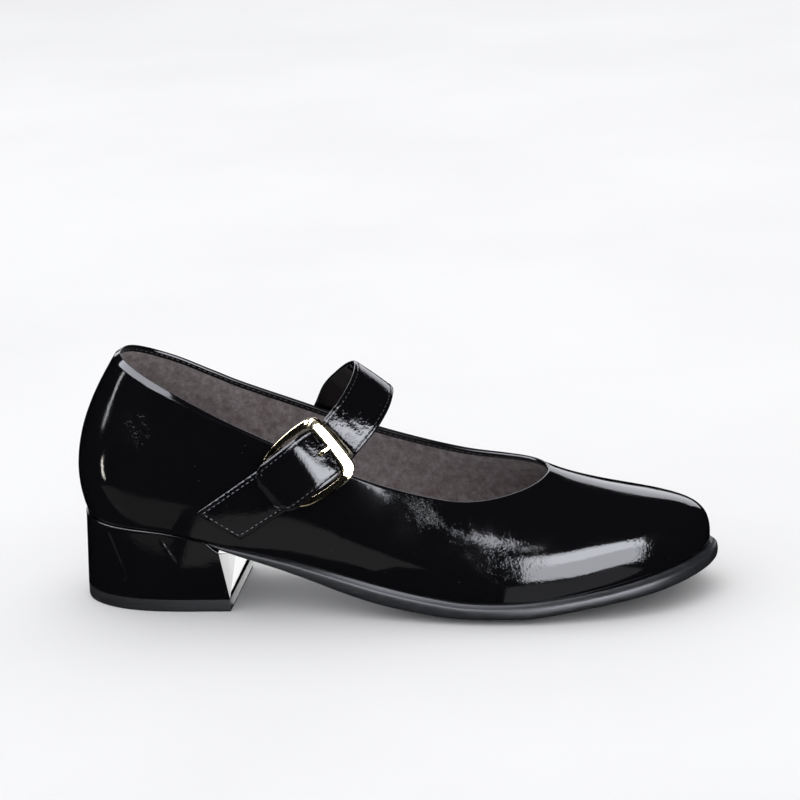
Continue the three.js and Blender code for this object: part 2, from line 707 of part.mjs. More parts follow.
// Finishes, and the nodes in the order a maker would put them together.
const finish = (color, roughness, metalness = 0) => new THREE.MeshStandardMaterial({ color, roughness, metalness });
const patentLeather = finish(0x08080a, 0.12);
const microfibre = finish(0x61565a, 0.95);
const soleRubber = finish(0x1d1d20, 0.55);
const tipRubber = finish(0x1a1b1e, 0.65);
const paleGold = finish(0xd8cda6, 0.2, 1);

const pieces = [
  ["upper", upperGeometry(), patentLeather],
  ["insole", insoleGeometry(), microfibre],
  ["outsole", soleGeometry(), soleRubber],
  ["heel_block", heelGeometry(), patentLeather],
  ["heel_top_piece", topPieceGeometry(), tipRubber],
  ["buckle_tab", tabGeometry(), patentLeather],
  ["buckle_frame", buckleGeometry(), paleGold],
  ["buckle_prong", prongGeometry(), paleGold],
  ["strap", strapGeometry(), patentLeather],
];

const shoe = new THREE.Group();
for (const [name, geometry, material] of pieces) {
  const mesh = new THREE.Mesh(geometry, material);
  mesh.name = name;
  shoe.add(mesh);
}
shoe.position.set(-originAlong, -originAcross, 0);

export default shoe;
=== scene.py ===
"""Looks of a women's Mary Jane shoe in black patent leather, as a Blender add-on.

Every piece is an operator: it starts from a primitive, gets its shape from the shoe's own functions,
and takes a node material. Drawing sizes are in millimetres, in the shoe's own axes: x from the back of
the heel to the toe, y to the inner side, z up. They become metres in the frame of the CAD part.
"""

import math

import bpy
import numpy as np
from mathutils import Matrix, Vector, noise


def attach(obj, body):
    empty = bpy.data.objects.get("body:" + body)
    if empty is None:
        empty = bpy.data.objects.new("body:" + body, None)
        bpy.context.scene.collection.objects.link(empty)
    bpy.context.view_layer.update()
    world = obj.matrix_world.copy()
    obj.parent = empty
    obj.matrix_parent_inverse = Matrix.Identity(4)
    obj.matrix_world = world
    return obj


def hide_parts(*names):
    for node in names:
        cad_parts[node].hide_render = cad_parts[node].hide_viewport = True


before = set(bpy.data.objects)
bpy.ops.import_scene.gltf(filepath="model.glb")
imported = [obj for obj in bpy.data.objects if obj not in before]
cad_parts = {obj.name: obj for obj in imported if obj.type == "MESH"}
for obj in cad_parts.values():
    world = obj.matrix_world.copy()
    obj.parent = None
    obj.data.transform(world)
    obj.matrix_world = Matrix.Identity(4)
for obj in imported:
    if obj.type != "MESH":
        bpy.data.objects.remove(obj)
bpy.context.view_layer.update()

bl_info = {
    "name": "Mary Jane shoe",
    "version": (1, 0, 0),
    "blender": (4, 5, 0),
    "location": "3D View > Sidebar > Shoe",
    "description": "Builds the looks of a patent leather Mary Jane shoe piece by piece",
    "category": "Add Mesh",
}

MM = 0.001
ORIGIN = np.array([125.7, 0.5, 0.0])  # the frame's origin in the drawing's axes
TAU = 2 * math.pi

# ---------------------------------------------------------------- the shoe's own shape

# Driving sizes, in millimetres.
LAST_LENGTH = 250.0
BALL_WIDTH = 80.0
HEEL_HEIGHT = 37.0
BALL_HEIGHT = 8.4
TOE_SPRING = 10.0
BACK_HEIGHT = 66.0
GAP = 0.3  # between pieces that meet
LEATHER = 1.25  # the upper's leather alone
BAND_WIDTH = 2.7  # the leather folded in under the topline
BAND_DEPTH = 2.0  # leather and lining together
SOCK_INSET = 2.6  # from the feather line to the insole's edge
SOCK_THICKNESS = 3.0
SOCK_LIFT = 0.1
SOLE_TAIL = 55.0  # the sole's rear end, let into the heel's top
BREAST = 59.2  # the heel's front face
HEEL_RIM = 0.9  # how far the heel stands out round the seat
TIP_HEIGHT = 5.0
STRAP_WIDTH = 18.4
STRAP_THICKNESS = 1.8
STRAP_TIP_WIDTH = 21.8
STRAP_TIP_LENGTH = 7.0
TAB_THICKNESS = 1.2
BUCKLE_LENGTH = 29.4
BUCKLE_WIDTH = 28.8
BAR_RADIUS = 0.85

# Along the shoe: the shares of heel height and toe spring, and the sole's thickness.
PROFILE_COLUMNS = ("along", "heel", "spring", "sole")
PROFILE = (
    (-2, 1, 0, 2),
    (10, 0.962, 0, 2),
    (36, 0.912, 0, 2),
    (52, 0.785, 0, 0.5),
    (60, 0.708, 0, 2.9),
    (85, 0.506, 0, 5.9),
    (104, 0.34, 0, 7.5),
    (123, 0.185, 0, 8.7),
    (143, 0.06, 0, 9),
    (158, 0, 0, 8.6),
    (180, 0, 0.02, 8.7),
    (208, 0, 0.33, 7.8),
    (230, 0, 0.7, 8),
    (252, 0, 1.05, 8),
)

# The upper's ribs, from the back of the heel along the outer side to the toe and back on the inner
# side: percent of the last length, the ball width and the back height, and angles from the level.
RIB_COLUMNS = ("along", "across", "top_along", "top_across", "rise", "lean", "pull", "slope", "reach")
RIBS = (
    (1, 0, 7.6, 0.3, 100, 72, 32, 55, 47),
    (3.2, -20, 9.2, -15.6, 98, 73, 31, 63, 42),
    (10, -33.1, 14.4, -26.9, 89.6, 76, 28, 77, 36),
    (20, -35.4, 21.6, -31.6, 81.6, 76, 25, 82, 31),
    (31.2, -34.8, 30.4, -33.8, 73.4, 74, 22, 83, 27),
    (42.4, -37.9, 39.6, -35.3, 66.6, 70, 21, 79, 24),
    (53.2, -44.1, 48.4, -35.8, 61.4, 67, 21, 71, 22),
    (64, -48.5, 56.8, -35, 58, 67, 21, 60, 23),
    (74.8, -47.5, 64, -31.3, 56.6, 71, 23, 45, 29),
    (85.2, -39.4, 69.6, -23.1, 58, 78, 27, 30, 40),
    (94, -23.8, 73, -11.9, 59.4, 83, 34, 19, 58),
    (99.3, 3.8, 74.5, 2.5, 60.6, 84, 38, 17, 71),
    (96.4, 26.3, 73.6, 15, 61, 83, 32, 29, 52),
    (88.8, 41.3, 70.6, 25.6, 61.8, 79, 26, 43, 38),
    (78.8, 48.8, 64.8, 32.5, 62.6, 73, 24, 51, 30),
    (68.4, 49.8, 57.6, 35.6, 63.6, 69, 22, 62, 25),
    (58, 43.5, 48.8, 36, 66.4, 65, 22, 69, 24),
    (46.8, 35, 39.8, 35.3, 69.6, 64, 23, 78, 26),
    (35.2, 31.3, 30.4, 33.8, 74.6, 68, 24, 82, 29),
    (22.8, 33.5, 21.6, 31.6, 80.6, 74, 26, 81, 32),
    (11.2, 34.1, 14.4, 26.9, 88, 76, 28, 77, 36),
    (3.6, 21.3, 9.2, 15.6, 97, 73, 31, 63, 42),
)

# The strap over the instep: the middle of its width and the angle at which it slopes to the toe.
ARCH_ROWS = (
    (110, -27.6, 73.2, 42),
    (116.4, -22.2, 80.2, 37),
    (119.8, -11.5, 85.6, 37),
    (119.4, 1, 88.1, 37),
    (115.2, 11.5, 85.4, 35),
    (108.8, 20.5, 79.2, 34),
    (102.2, 27.8, 71.4, 34),
)
STRAP_END_ROWS = ((97.6, 62, 34), (90.6, 52.6, 36), (83.4, 43.4, 40))
# Through the buckle, along it and out of it.
THREAD_ROWS = (
    (-20.8, 2),
    (-17.5, 3),
    (-13.8, 3.4),
    (-10, 3.45),
    (-5, 3.4),
    (-1, 3.25),
    (1.6, 2.65),
    (4, 1.6),
    (6.5, 0.25),
    (9, -1.4),
    (11.4, -2.5),
    (14, -3.2),
)


def smoothstep(x, low, high):
    """0 below low, 1 above high, and a smooth rise between them."""
    t = np.clip((np.asarray(x, float) - low) / (high - low), 0, 1)
    return t * t * (3 - 2 * t)


def through(column):
    """A smooth curve through one column of the profile, by its place along the shoe."""
    k = PROFILE_COLUMNS.index(column)
    xs = np.array([row[0] for row in PROFILE], float)
    ys = np.array([row[k] for row in PROFILE], float)
    last = len(xs) - 1
    before, after = np.maximum(np.arange(last + 1) - 1, 0), np.minimum(np.arange(last + 1) + 1, last)
    slopes = (ys[after] - ys[before]) / (xs[after] - xs[before])

    def value(along):
        x = np.clip(along, xs[0], xs[-1])
        i = np.clip(np.searchsorted(xs, x, side="right") - 1, 0, last - 1)
        span = xs[i + 1] - xs[i]
        t = (x - xs[i]) / span
        ease = t * t * (3 - 2 * t)
        curve = ys[i] + (ys[i + 1] - ys[i]) * ease
        return curve + span * t * (1 - t) * ((1 - t) * slopes[i] - t * slopes[i + 1])

    return value


def around(values):
    """A closed smooth curve through equally spaced values: a periodic cubic spline."""
    y = np.array(values, float)
    n = len(y)
    system = 4 * np.eye(n) + np.roll(np.eye(n), 1, axis=0) + np.roll(np.eye(n), -1, axis=0)
    bend = np.linalg.solve(system, 6 * (np.roll(y, 1) - 2 * y + np.roll(y, -1)))

    def value(s):
        place = (np.asarray(s, float) % 1.0) * n
        i = np.floor(place).astype(int) % n
        t = place - np.floor(place)
        k, rest = (i + 1) % n, 1 - t
        bent = (rest**3 - rest) * bend[i] + (t**3 - t) * bend[k]
        return rest * y[i] + t * y[k] + bent / 6

    return value


def rib_column(name, whole):
    """One column of the ribs as a curve round the shoe, in shares of the whole size."""
    k = RIB_COLUMNS.index(name)
    return around([row[k] * whole / 100 for row in RIBS])


heel_share, spring_share, sole_thickness = through("heel"), through("spring"), through("sole")
RIB = {
    "x": rib_column("along", LAST_LENGTH),
    "y": rib_column("across", BALL_WIDTH),
    "top_x": rib_column("top_along", LAST_LENGTH),
    "top_y": rib_column("top_across", BALL_WIDTH),
    "rise": rib_column("rise", BACK_HEIGHT),
    "lean": rib_column("lean", 100),
    "pull": rib_column("pull", BACK_HEIGHT),
    "slope": rib_column("slope", 100),
    "reach": rib_column("reach", BACK_HEIGHT),
}


def feather_height(x):
    """How high the feather line, where upper and sole meet, lies above the floor."""
    return BALL_HEIGHT + heel_share(x) * (HEEL_HEIGHT - BALL_HEIGHT) + spring_share(x) * TOE_SPRING


def sole_bottom(x):
    """How high the sole's underside lies: on the floor at the ball, above it at the waist and toe."""
    return np.maximum(0, feather_height(x) - sole_thickness(x))


def unit(v):
    """The same directions with a length of 1."""
    return v / np.maximum(np.linalg.norm(v, axis=-1, keepdims=True), 1e-9)


def outward(x, y, s):
    """The level direction out of the closed curve x(s), y(s)."""
    step = 1e-3
    dx, dy = x(s + step) - x(s - step), y(s + step) - y(s - step)
    return unit(np.stack([dy, -dx, np.zeros_like(dx)], -1))


def feather(s, offset=0.0):
    """The feather line, moved out by offset."""
    s = np.asarray(s, float)
    point = np.stack([RIB["x"](s), RIB["y"](s), np.zeros_like(s)], -1)
    point = point + outward(RIB["x"], RIB["y"], s) * np.asarray(offset)[..., None]
    point[..., 2] = feather_height(point[..., 0])
    return point


def surface(s, t):
    """The outer surface of the upper: s runs round the shoe, t from the feather line to the topline."""
    s, t = np.broadcast_arrays(np.asarray(s, float), np.asarray(t, float))
    foot = feather(s)
    top_x = RIB["top_x"](s)
    top = np.stack([top_x, RIB["top_y"](s), feather_height(top_x) + RIB["rise"](s)], -1)
    lean, slope = np.radians(RIB["lean"](s)), np.radians(RIB["slope"](s))
    pull, reach = RIB["pull"](s), RIB["reach"](s)
    low = foot + outward(RIB["x"], RIB["y"], s) * (pull * np.cos(lean))[..., None]
    low[..., 2] += pull * np.sin(lean)
    high = top + outward(RIB["top_x"], RIB["top_y"], s) * (reach * np.cos(slope))[..., None]
    high[..., 2] -= reach * np.sin(slope)
    t, rest = t[..., None], 1 - t[..., None]
    return rest**3 * foot + 3 * rest**2 * t * low + 3 * rest * t**2 * high + t**3 * top


def normal(s, t):
    """The direction straight out of the upper's surface."""
    step = 1e-3
    low, high = np.clip(np.asarray(t) - step, 0, 1), np.clip(np.asarray(t) + step, 0, 1)
    along = surface(s + step, t) - surface(s - step, t)
    up = surface(s, high) - surface(s, low)
    return unit(np.cross(along, up))


def rib_speed(s, t):
    """Millimetres of rib for a step of 1 in t."""
    step = 1e-3
    low, high = np.clip(t - step, 0, 1), np.clip(t + step, 0, 1)
    run = surface(s, high) - surface(s, low)
    return np.linalg.norm(run, axis=-1) / (high - low)


def find_side(side, x, z):
    """The s and t of the upper's side (-1 outer, 1 inner) at places x along and z above the floor."""
    x, z = np.broadcast_arrays(np.asarray(x, float), np.asarray(z, float))
    # Newton's method, from a first guess: along each side s grows nearly evenly with x.
    guess = 0.10 + 0.34 * (x - 30) / 150
    s = guess if side < 0 else 1 - guess
    t = np.full_like(s, 0.55)
    step, rounds = 1e-4, 14
    for _ in range(rounds):
        here = surface(s, t)
        by_s = (surface(s + step, t) - here) / step
        by_t = (surface(s, t + step) - here) / step
        ex, ez = x - here[..., 0], z - here[..., 2]
        det = by_s[..., 0] * by_t[..., 2] - by_t[..., 0] * by_s[..., 2]
        ds = (ex * by_t[..., 2] - ez * by_t[..., 0]) / det
        dt = (by_s[..., 0] * ez - by_s[..., 2] * ex) / det
        s, t = s + np.clip(ds, -0.05, 0.05), np.clip(t + np.clip(dt, -0.2, 0.2), 0.02, 1)
    return s, t


def on_side(side, x, z, lift):
    """Points that far out of the upper's side."""
    s, t = find_side(side, x, z)
    return surface(s, t) + normal(s, t) * np.asarray(lift)[..., None]


# Where the buckle's back bar lies: along the shoe, above the floor, and off the leather.
BACK_BAR = (86.2, 54.6, 2.7)
FRONT_BAR = (107.1, -30.4, 70.5)
BUCKLE_ACROSS = (0.65, -0.1, -0.752)


def buckle_axes():
    """The buckle's own axes: u along the strap to the front, w across it, n out of the shoe."""
    x, z, lift = BACK_BAR
    back = on_side(-1, x, z, lift)
    u = unit(np.array(FRONT_BAR) - back)
    w = np.array(BUCKLE_ACROSS)
    w = unit(w - u * (w @ u))
    n = unit(np.cross(w, u))
    bar_at = BAR_RADIUS - BUCKLE_LENGTH / 2
    return back - u * bar_at, u, w, n, bar_at


MIDDLE, BUCKLE_U, BUCKLE_W, BUCKLE_N, BAR_AT = buckle_axes()


def in_buckle(u, w, n):
    """Points given in the buckle's own axes."""
    u, w, n = (np.asarray(v, float)[..., None] for v in (u, w, n))
    return MIDDLE + BUCKLE_U * u + BUCKLE_W * w + BUCKLE_N * n


def smooth_path(points, count):
    """Evenly spaced points on a centripetal Catmull-Rom curve through the given ones."""
    points = np.asarray(points, float)
    ends = (2 * points[:1] - points[1:2], points, 2 * points[-1:] - points[-2:-1])
    p = np.concatenate(ends)
    fine = []
    for i in range(1, len(p) - 2):
        knots = [0.0]
        for k in range(3):
            knots.append(knots[-1] + math.sqrt(max(np.linalg.norm(p[i + k] - p[i + k - 1]), 1e-6)))
        a, b, c, d = knots
        t = np.linspace(b, c, 24, endpoint=False)[:, None]
        low = (b - t) / (b - a) * p[i - 1] + (t - a) / (b - a) * p[i]
        mid = (c - t) / (c - b) * p[i] + (t - b) / (c - b) * p[i + 1]
        high = (d - t) / (d - c) * p[i + 1] + (t - c) / (d - c) * p[i + 2]
        first = (c - t) / (c - a) * low + (t - a) / (c - a) * mid
        second = (d - t) / (d - b) * mid + (t - b) / (d - b) * high
        fine.append((c - t) / (c - b) * first + (t - b) / (c - b) * second)
    fine = np.concatenate(fine + [p[-2:-1]])
    return resample(fine, count)


def resample(points, count):
    """The same path with that many points, evenly spaced."""
    run = run_along(points)
    return at_run(run, points, np.linspace(0, run[-1], count))


# ---------------------------------------------------------------- meshes


def to_frame(points):
    """From the drawing's millimetres to metres in the frame."""
    return (np.asarray(points, float) - ORIGIN) * MM


def coordinates(mesh):
    """A mesh's vertices as an array."""
    co = np.empty(len(mesh.vertices) * 3)
    mesh.vertices.foreach_get("co", co)
    return co.reshape(-1, 3)


def set_coordinates(mesh, points):
    """Moves a mesh's vertices to points of the drawing."""
    mesh.vertices.foreach_set("co", to_frame(points).ravel())
    mesh.update()


def start(operator, name, **settings):
    """Runs a primitive's operator and returns its object, alone in the selection."""
    if bpy.context.object and bpy.context.object.mode != "OBJECT":
        bpy.ops.object.mode_set(mode="OBJECT")
    bpy.ops.object.select_all(action="DESELECT")
    operator(location=(0, 0, 0), **settings)
    piece = bpy.context.object
    piece.name = piece.data.name = name
    return piece


def select_only(active, *others):
    """Selects pieces and makes the first of them the active one."""
    bpy.ops.object.select_all(action="DESELECT")
    for piece in (active, *others):
        piece.select_set(True)
    bpy.context.view_layer.objects.active = active


def tidy(piece, angle=None, merge=1e-6):
    """Welds a shaped piece, points its faces out and shades it."""
    bpy.ops.object.mode_set(mode="EDIT")
    bpy.ops.mesh.select_all(action="SELECT")
    bpy.ops.mesh.remove_doubles(threshold=merge)
    bpy.ops.mesh.dissolve_degenerate(threshold=1e-7)
    bpy.ops.mesh.select_all(action="SELECT")
    bpy.ops.mesh.normals_make_consistent(inside=False)
    bpy.ops.object.mode_set(mode="OBJECT")
    if angle is None:
        bpy.ops.object.shade_smooth()
    else:
        bpy.ops.object.shade_smooth_by_angle(angle=math.radians(angle))
    return piece


def shaped_ring(name, points, angle=None):
    """A ring-like skin from a torus: points[i, j] goes round the ring by i and round its section by j."""
    major, minor = points.shape[:2]
    torus = bpy.ops.mesh.primitive_torus_add
    piece = start(torus, name, major_segments=major, minor_segments=minor, major_radius=2, minor_radius=1)
    co = coordinates(piece.data)
    i = np.rint(np.arctan2(co[:, 1], co[:, 0]) / TAU * major).astype(int) % major
    out = np.hypot(co[:, 0], co[:, 1]) - 2
    j = np.rint(np.arctan2(co[:, 2], out) / TAU * minor).astype(int) % minor
    set_coordinates(piece.data, points[i, j])
    return tidy(piece, angle)


def shaped_body(name, points, start_pole, end_pole, angle=None, merge=1e-6):
    """A closed skin from a sphere: points[i, j] is section i of the body, j goes round the section."""
    rings, segments = points.shape[:2]
    sphere = bpy.ops.mesh.primitive_uv_sphere_add
    piece = start(sphere, name, segments=segments, ring_count=rings + 1, radius=1)
    co = coordinates(piece.data)
    polar = np.rint(np.arccos(np.clip(co[:, 2], -1, 1)) / math.pi * (rings + 1)).astype(int)
    j = np.rint(np.arctan2(co[:, 1], co[:, 0]) / TAU * segments).astype(int) % segments
    shaped = points[np.clip(polar - 1, 0, rings - 1), j]
    shaped[polar == 0] = start_pole
    shaped[polar == rings + 1] = end_pole
    set_coordinates(piece.data, shaped)
    return tidy(piece, angle, merge)


def capsules(name, middles, tangents, normals, length, width, height):
    """Many small stitches as one mesh: each is a sphere drawn out along its tangent, half sunk."""
    piece = start(bpy.ops.mesh.primitive_uv_sphere_add, name, segments=8, ring_count=6, radius=1)
    mesh = piece.data
    ball = coordinates(mesh)
    blunt = np.sign(ball) * np.abs(ball) ** np.array([1, 1, 0.7])
    across, out, along = (blunt * [width / 2, height, length / 2]).T[..., None]
    faces = [tuple(face.vertices) for face in mesh.polygons]
    sides = unit(np.cross(normals, tangents))
    parts = [
        middle + along * tangent + across * side + out * up
        for middle, tangent, side, up in zip(middles, tangents, sides, normals)
    ]
    step = len(ball)
    every = [tuple(v + k * step for v in face) for k in range(len(parts)) for face in faces]
    mesh.clear_geometry()
    mesh.from_pydata(to_frame(np.concatenate(parts)).tolist(), [], every)
    mesh.update()
    return tidy(piece)


def run_along(path):
    """How far along a path each of its points is."""
    return np.concatenate([[0], np.cumsum(np.linalg.norm(np.diff(path, axis=0), axis=1))])


def at_run(run, rows, where):
    """The rows' values at other places along their path."""
    return np.stack([np.interp(where, run, rows[:, k]) for k in range(3)], 1)


def stitches(name, path, normals, height):
    """Stitches at equal steps along a path, standing that high out of the surface."""
    sizes = bpy.context.scene.shoe_sizes
    run = run_along(path)
    count = max(int(run[-1] / (sizes.stitch_pitch / MM)), 2)
    at = (np.arange(count) + 0.5) * run[-1] / count
    near = 0.4
    ahead, behind = np.minimum(at + near, run[-1]), np.maximum(at - near, 0)
    tangents = unit(at_run(run, path, ahead) - at_run(run, path, behind))
    length, width = sizes.stitch_length / MM, sizes.stitch_width / MM
    outs = unit(at_run(run, normals, at))
    return capsules(name, at_run(run, path, at), tangents, outs, length, width, height)


def bumps(points, size, seed):
    """Smooth noise from about -1 to 1 at the given points, with features of that size."""
    shift = Vector((seed * 3.1, seed * 1.7, seed * 2.3))
    values = [noise.noise(Vector(p) / size + shift) for p in points.reshape(-1, 3)]
    return np.array(values).reshape(points.shape[:-1])


def paint(piece, name, values):
    """Stores one number for each vertex, for a material to read."""
    layer = piece.data.attributes.new(name, "FLOAT", "POINT")
    layer.data.foreach_set("value", np.asarray(values, float))


def in_drawing(piece):
    """A piece's vertices in the drawing's millimetres."""
    return coordinates(piece.data) / MM + ORIGIN


# ---------------------------------------------------------------- materials


def shade(hex_code):
    """A linear colour from an sRGB hex code."""
    values = [int(hex_code[k : k + 2], 16) / 255 for k in (0, 2, 4)]
    return tuple(v / 12.92 if v <= 0.04045 else ((v + 0.055) / 1.055) ** 2.4 for v in values) + (1.0,)


def new_material(name):
    """An empty node material, its tree, and the object coordinates that its textures lie in."""
    made = bpy.data.materials.new(name)
    made.use_nodes = True
    tree = made.node_tree
    tree.nodes.clear()
    return made, tree, add(tree, "ShaderNodeTexCoord").outputs["Object"]


def add(tree, kind, inputs=(), stops=(), **settings):
    """Adds a node with its settings. Each input takes a value, a socket, or a node for its first output,
    and the stops are a colour ramp's."""
    node = tree.nodes.new(kind)
    for name, value in settings.items():
        setattr(node, name, value)
    for k, (position, colour) in enumerate(stops):
        elements = node.color_ramp.elements
        element = elements[k] if k < len(elements) else elements.new(position)
        element.position, element.color = position, colour
    for name, value in dict(inputs).items():
        if isinstance(value, bpy.types.Node):
            value = value.outputs[0]
        if isinstance(value, bpy.types.NodeSocket):
            tree.links.new(value, node.inputs[name])
        else:
            node.inputs[name].default_value = value
    return node


def per_mm(count):
    """A texture scale that puts that many features in a millimetre."""
    return count / MM


def grey(value):
    """A colour ramp's colour that stands for a number."""
    return (value, value, value, 1.0)


def patent_leather(name, colour, dust_colour, grain=1.0, masked=True):
    """Leather under a poured polyurethane film: near-black and mirror-like. The pebble breaks the edges
    of what it mirrors into specks, slow waves from lasting bend them, and dust and handling dull it."""
    made, tree, place = new_material(name)
    # The waves of the stretched film, several millimetres long.
    waves = add(tree, "ShaderNodeTexNoise", {"Vector": place, "Scale": per_mm(0.14), "Detail": 1.0})
    bump = add(tree, "ShaderNodeBump", {"Height": waves, "Distance": 0.16 * MM, "Strength": 0.3})
    # The pebble: cells about a millimetre wide, with a finer unevenness over them.
    cells = add(
        tree,
        "ShaderNodeTexVoronoi",
        {"Vector": place, "Scale": per_mm(1.0), "Smoothness": 0.7},
        feature="SMOOTH_F1",
    )
    fine = add(
        tree, "ShaderNodeTexNoise", {"Vector": place, "Scale": per_mm(2.1), "Detail": 2.0, "Roughness": 0.6}
    )
    pebble = add(tree, "ShaderNodeMath", {0: cells, 1: 1.4, 2: fine}, operation="MULTIPLY_ADD")
    strength = grain
    if masked:
        # It's strong only in patches, where the leather flexes or was pulled in folds.
        mask = add(tree, "ShaderNodeAttribute", attribute_name="crinkle").outputs["Fac"]
        most = add(tree, "ShaderNodeMath", {0: mask, 1: grain}, operation="MULTIPLY", use_clamp=True)
        spread = add(tree, "ShaderNodeTexNoise", {"Vector": place, "Scale": per_mm(0.42), "Detail": 2.0})
        patches = add(tree, "ShaderNodeValToRGB", {"Fac": spread}, [(0.42, grey(0.25)), (0.6, grey(1.0))])
        strength = add(tree, "ShaderNodeMath", {0: most, 1: patches}, operation="MULTIPLY")
    depth = bpy.context.scene.shoe_sizes.grain_depth
    bump = add(
        tree, "ShaderNodeBump", {"Height": pebble, "Distance": depth, "Strength": strength, "Normal": bump}
    )
    # The haze of handling: broad, faint patches that are a little less sharp.
    smear = add(tree, "ShaderNodeTexNoise", {"Vector": place, "Scale": per_mm(0.045), "Detail": 3.0})
    haze = add(tree, "ShaderNodeValToRGB", {"Fac": smear}, [(0.35, grey(0.055)), (0.75, grey(0.14))])
    # Dust: a few pale specks on the film.
    specks = add(tree, "ShaderNodeTexVoronoi", {"Vector": place, "Scale": per_mm(0.16)})
    tint = add(
        tree, "ShaderNodeValToRGB", {"Fac": specks}, [(0.0, shade(dust_colour)), (0.04, shade(colour))]
    )
    shader = add(
        tree,
        "ShaderNodeBsdfPrincipled",
        {"Base Color": tint, "Roughness": haze, "IOR": 1.46, "Normal": bump},
    )
    add(tree, "ShaderNodeOutputMaterial", {"Surface": shader})
    return made


def microfibre(name, colour, middle, light):
    """Suede-like microfibre lining: a taupe nap, brushed unevenly so that it mottles, and quite matte."""
    made, tree, place = new_material(name)
    mottle = add(
        tree, "ShaderNodeTexNoise", {"Vector": place, "Scale": per_mm(0.3), "Detail": 5.0, "Roughness": 0.7}
    )
    nap = add(
        tree, "ShaderNodeTexNoise", {"Vector": place, "Scale": per_mm(2.6), "Detail": 3.0, "Roughness": 0.7}
    )
    both = add(tree, "ShaderNodeMix", {"Factor": 0.38, "A": mottle, "B": nap})
    tint = add(
        tree,
        "ShaderNodeValToRGB",
        {"Fac": both},
        [(0.39, shade(colour)), (0.5, shade(middle)), (0.61, shade(light))],
    )
    bump = add(tree, "ShaderNodeBump", {"Height": nap, "Distance": 0.12 * MM, "Strength": 0.7})
    shader = add(
        tree,
        "ShaderNodeBsdfPrincipled",
        {
            "Base Color": tint,
            "Roughness": 0.92,
            "Sheen Weight": 0.35,
            "Sheen Roughness": 0.5,
            "Normal": bump,
        },
    )
    add(tree, "ShaderNodeOutputMaterial", {"Surface": shader})
    return made


def moulded_rubber(name, colour, light, roughness):
    """Moulded sole compound: a dark grey satin skin, with flow marks along its edge and a scuffed haze."""
    made, tree, place = new_material(name)
    drawn = add(tree, "ShaderNodeMapping", {"Vector": place, "Scale": (0.12, 0.12, 1.0)})
    streaks = add(
        tree, "ShaderNodeTexNoise", {"Vector": drawn, "Scale": per_mm(1.6), "Detail": 3.0, "Roughness": 0.6}
    )
    grain = add(
        tree, "ShaderNodeTexNoise", {"Vector": place, "Scale": per_mm(2.5), "Detail": 2.0, "Roughness": 0.6}
    )
    tint = add(tree, "ShaderNodeValToRGB", {"Fac": streaks}, [(0.3, shade(colour)), (0.75, shade(light))])
    height = add(tree, "ShaderNodeMix", {"Factor": 0.5, "A": streaks, "B": grain})
    bump = add(tree, "ShaderNodeBump", {"Height": height, "Distance": 0.06 * MM, "Strength": 0.5})
    rough = add(
        tree,
        "ShaderNodeValToRGB",
        {"Fac": streaks},
        [(0.2, grey(roughness - 0.06)), (0.8, grey(roughness + 0.1))],
    )
    shader = add(tree, "ShaderNodeBsdfPrincipled", {"Base Color": tint, "Roughness": rough, "Normal": bump})
    add(tree, "ShaderNodeOutputMaterial", {"Surface": shader})
    return made


def plated_gold(name, colour):
    """Cast zinc under a pale gold plate, tumbled bright: it mirrors sharply, with hairline rubbing marks."""
    made, tree, place = new_material(name)
    drawn = add(tree, "ShaderNodeMapping", {"Vector": place, "Scale": (1.0, 1.0, 0.15)})
    rub = add(
        tree, "ShaderNodeTexNoise", {"Vector": drawn, "Scale": per_mm(3.0), "Detail": 2.0, "Roughness": 0.7}
    )
    cast = add(tree, "ShaderNodeTexNoise", {"Vector": place, "Scale": per_mm(0.3), "Detail": 1.0})
    height = add(tree, "ShaderNodeMix", {"Factor": 0.1, "A": cast, "B": rub})
    bump = add(tree, "ShaderNodeBump", {"Height": height, "Distance": 0.03 * MM, "Strength": 0.35})
    rough = add(tree, "ShaderNodeValToRGB", {"Fac": rub}, [(0.35, grey(0.07)), (0.8, grey(0.18))])
    shader = add(
        tree,
        "ShaderNodeBsdfPrincipled",
        {"Base Color": shade(colour), "Metallic": 1.0, "Roughness": rough, "Normal": bump},
    )
    add(tree, "ShaderNodeOutputMaterial", {"Surface": shader})
    return made


def twisted_thread(name, colour, light):
    """Bonded polyester thread: satin, with a painted highlight and painted shade in slanting bands along its
    twist.
    """
    made, tree, place = new_material(name)
    twist = add(
        tree,
        "ShaderNodeTexWave",
        {"Vector": place, "Scale": per_mm(1.1), "Distortion": 0.4},
        wave_type="BANDS",
        bands_direction="DIAGONAL",
    )
    # The twist's slanting bands are painted light and dark: painted glints on the thread and painted shade
    # between them.
    tint = add(tree, "ShaderNodeValToRGB", {"Fac": twist}, [(0.0, shade(colour)), (1.0, shade(light))])
    bump = add(tree, "ShaderNodeBump", {"Height": twist, "Distance": 0.05 * MM, "Strength": 0.6})
    shader = add(tree, "ShaderNodeBsdfPrincipled", {"Base Color": tint, "Roughness": 0.42, "Normal": bump})
    add(tree, "ShaderNodeOutputMaterial", {"Surface": shader})
    return made


def paper_sweep(name, colour, light):
    """A rolled paper sweep: pale and matte, with the faintest unevenness."""
    made, tree, place = new_material(name)
    pulp = add(tree, "ShaderNodeTexNoise", {"Vector": place, "Scale": per_mm(0.004), "Detail": 3.0})
    tint = add(tree, "ShaderNodeValToRGB", {"Fac": pulp}, [(0.3, shade(colour)), (0.7, shade(light))])
    shader = add(tree, "ShaderNodeBsdfPrincipled", {"Base Color": tint, "Roughness": 0.85})
    add(tree, "ShaderNodeOutputMaterial", {"Surface": shader})
    return made


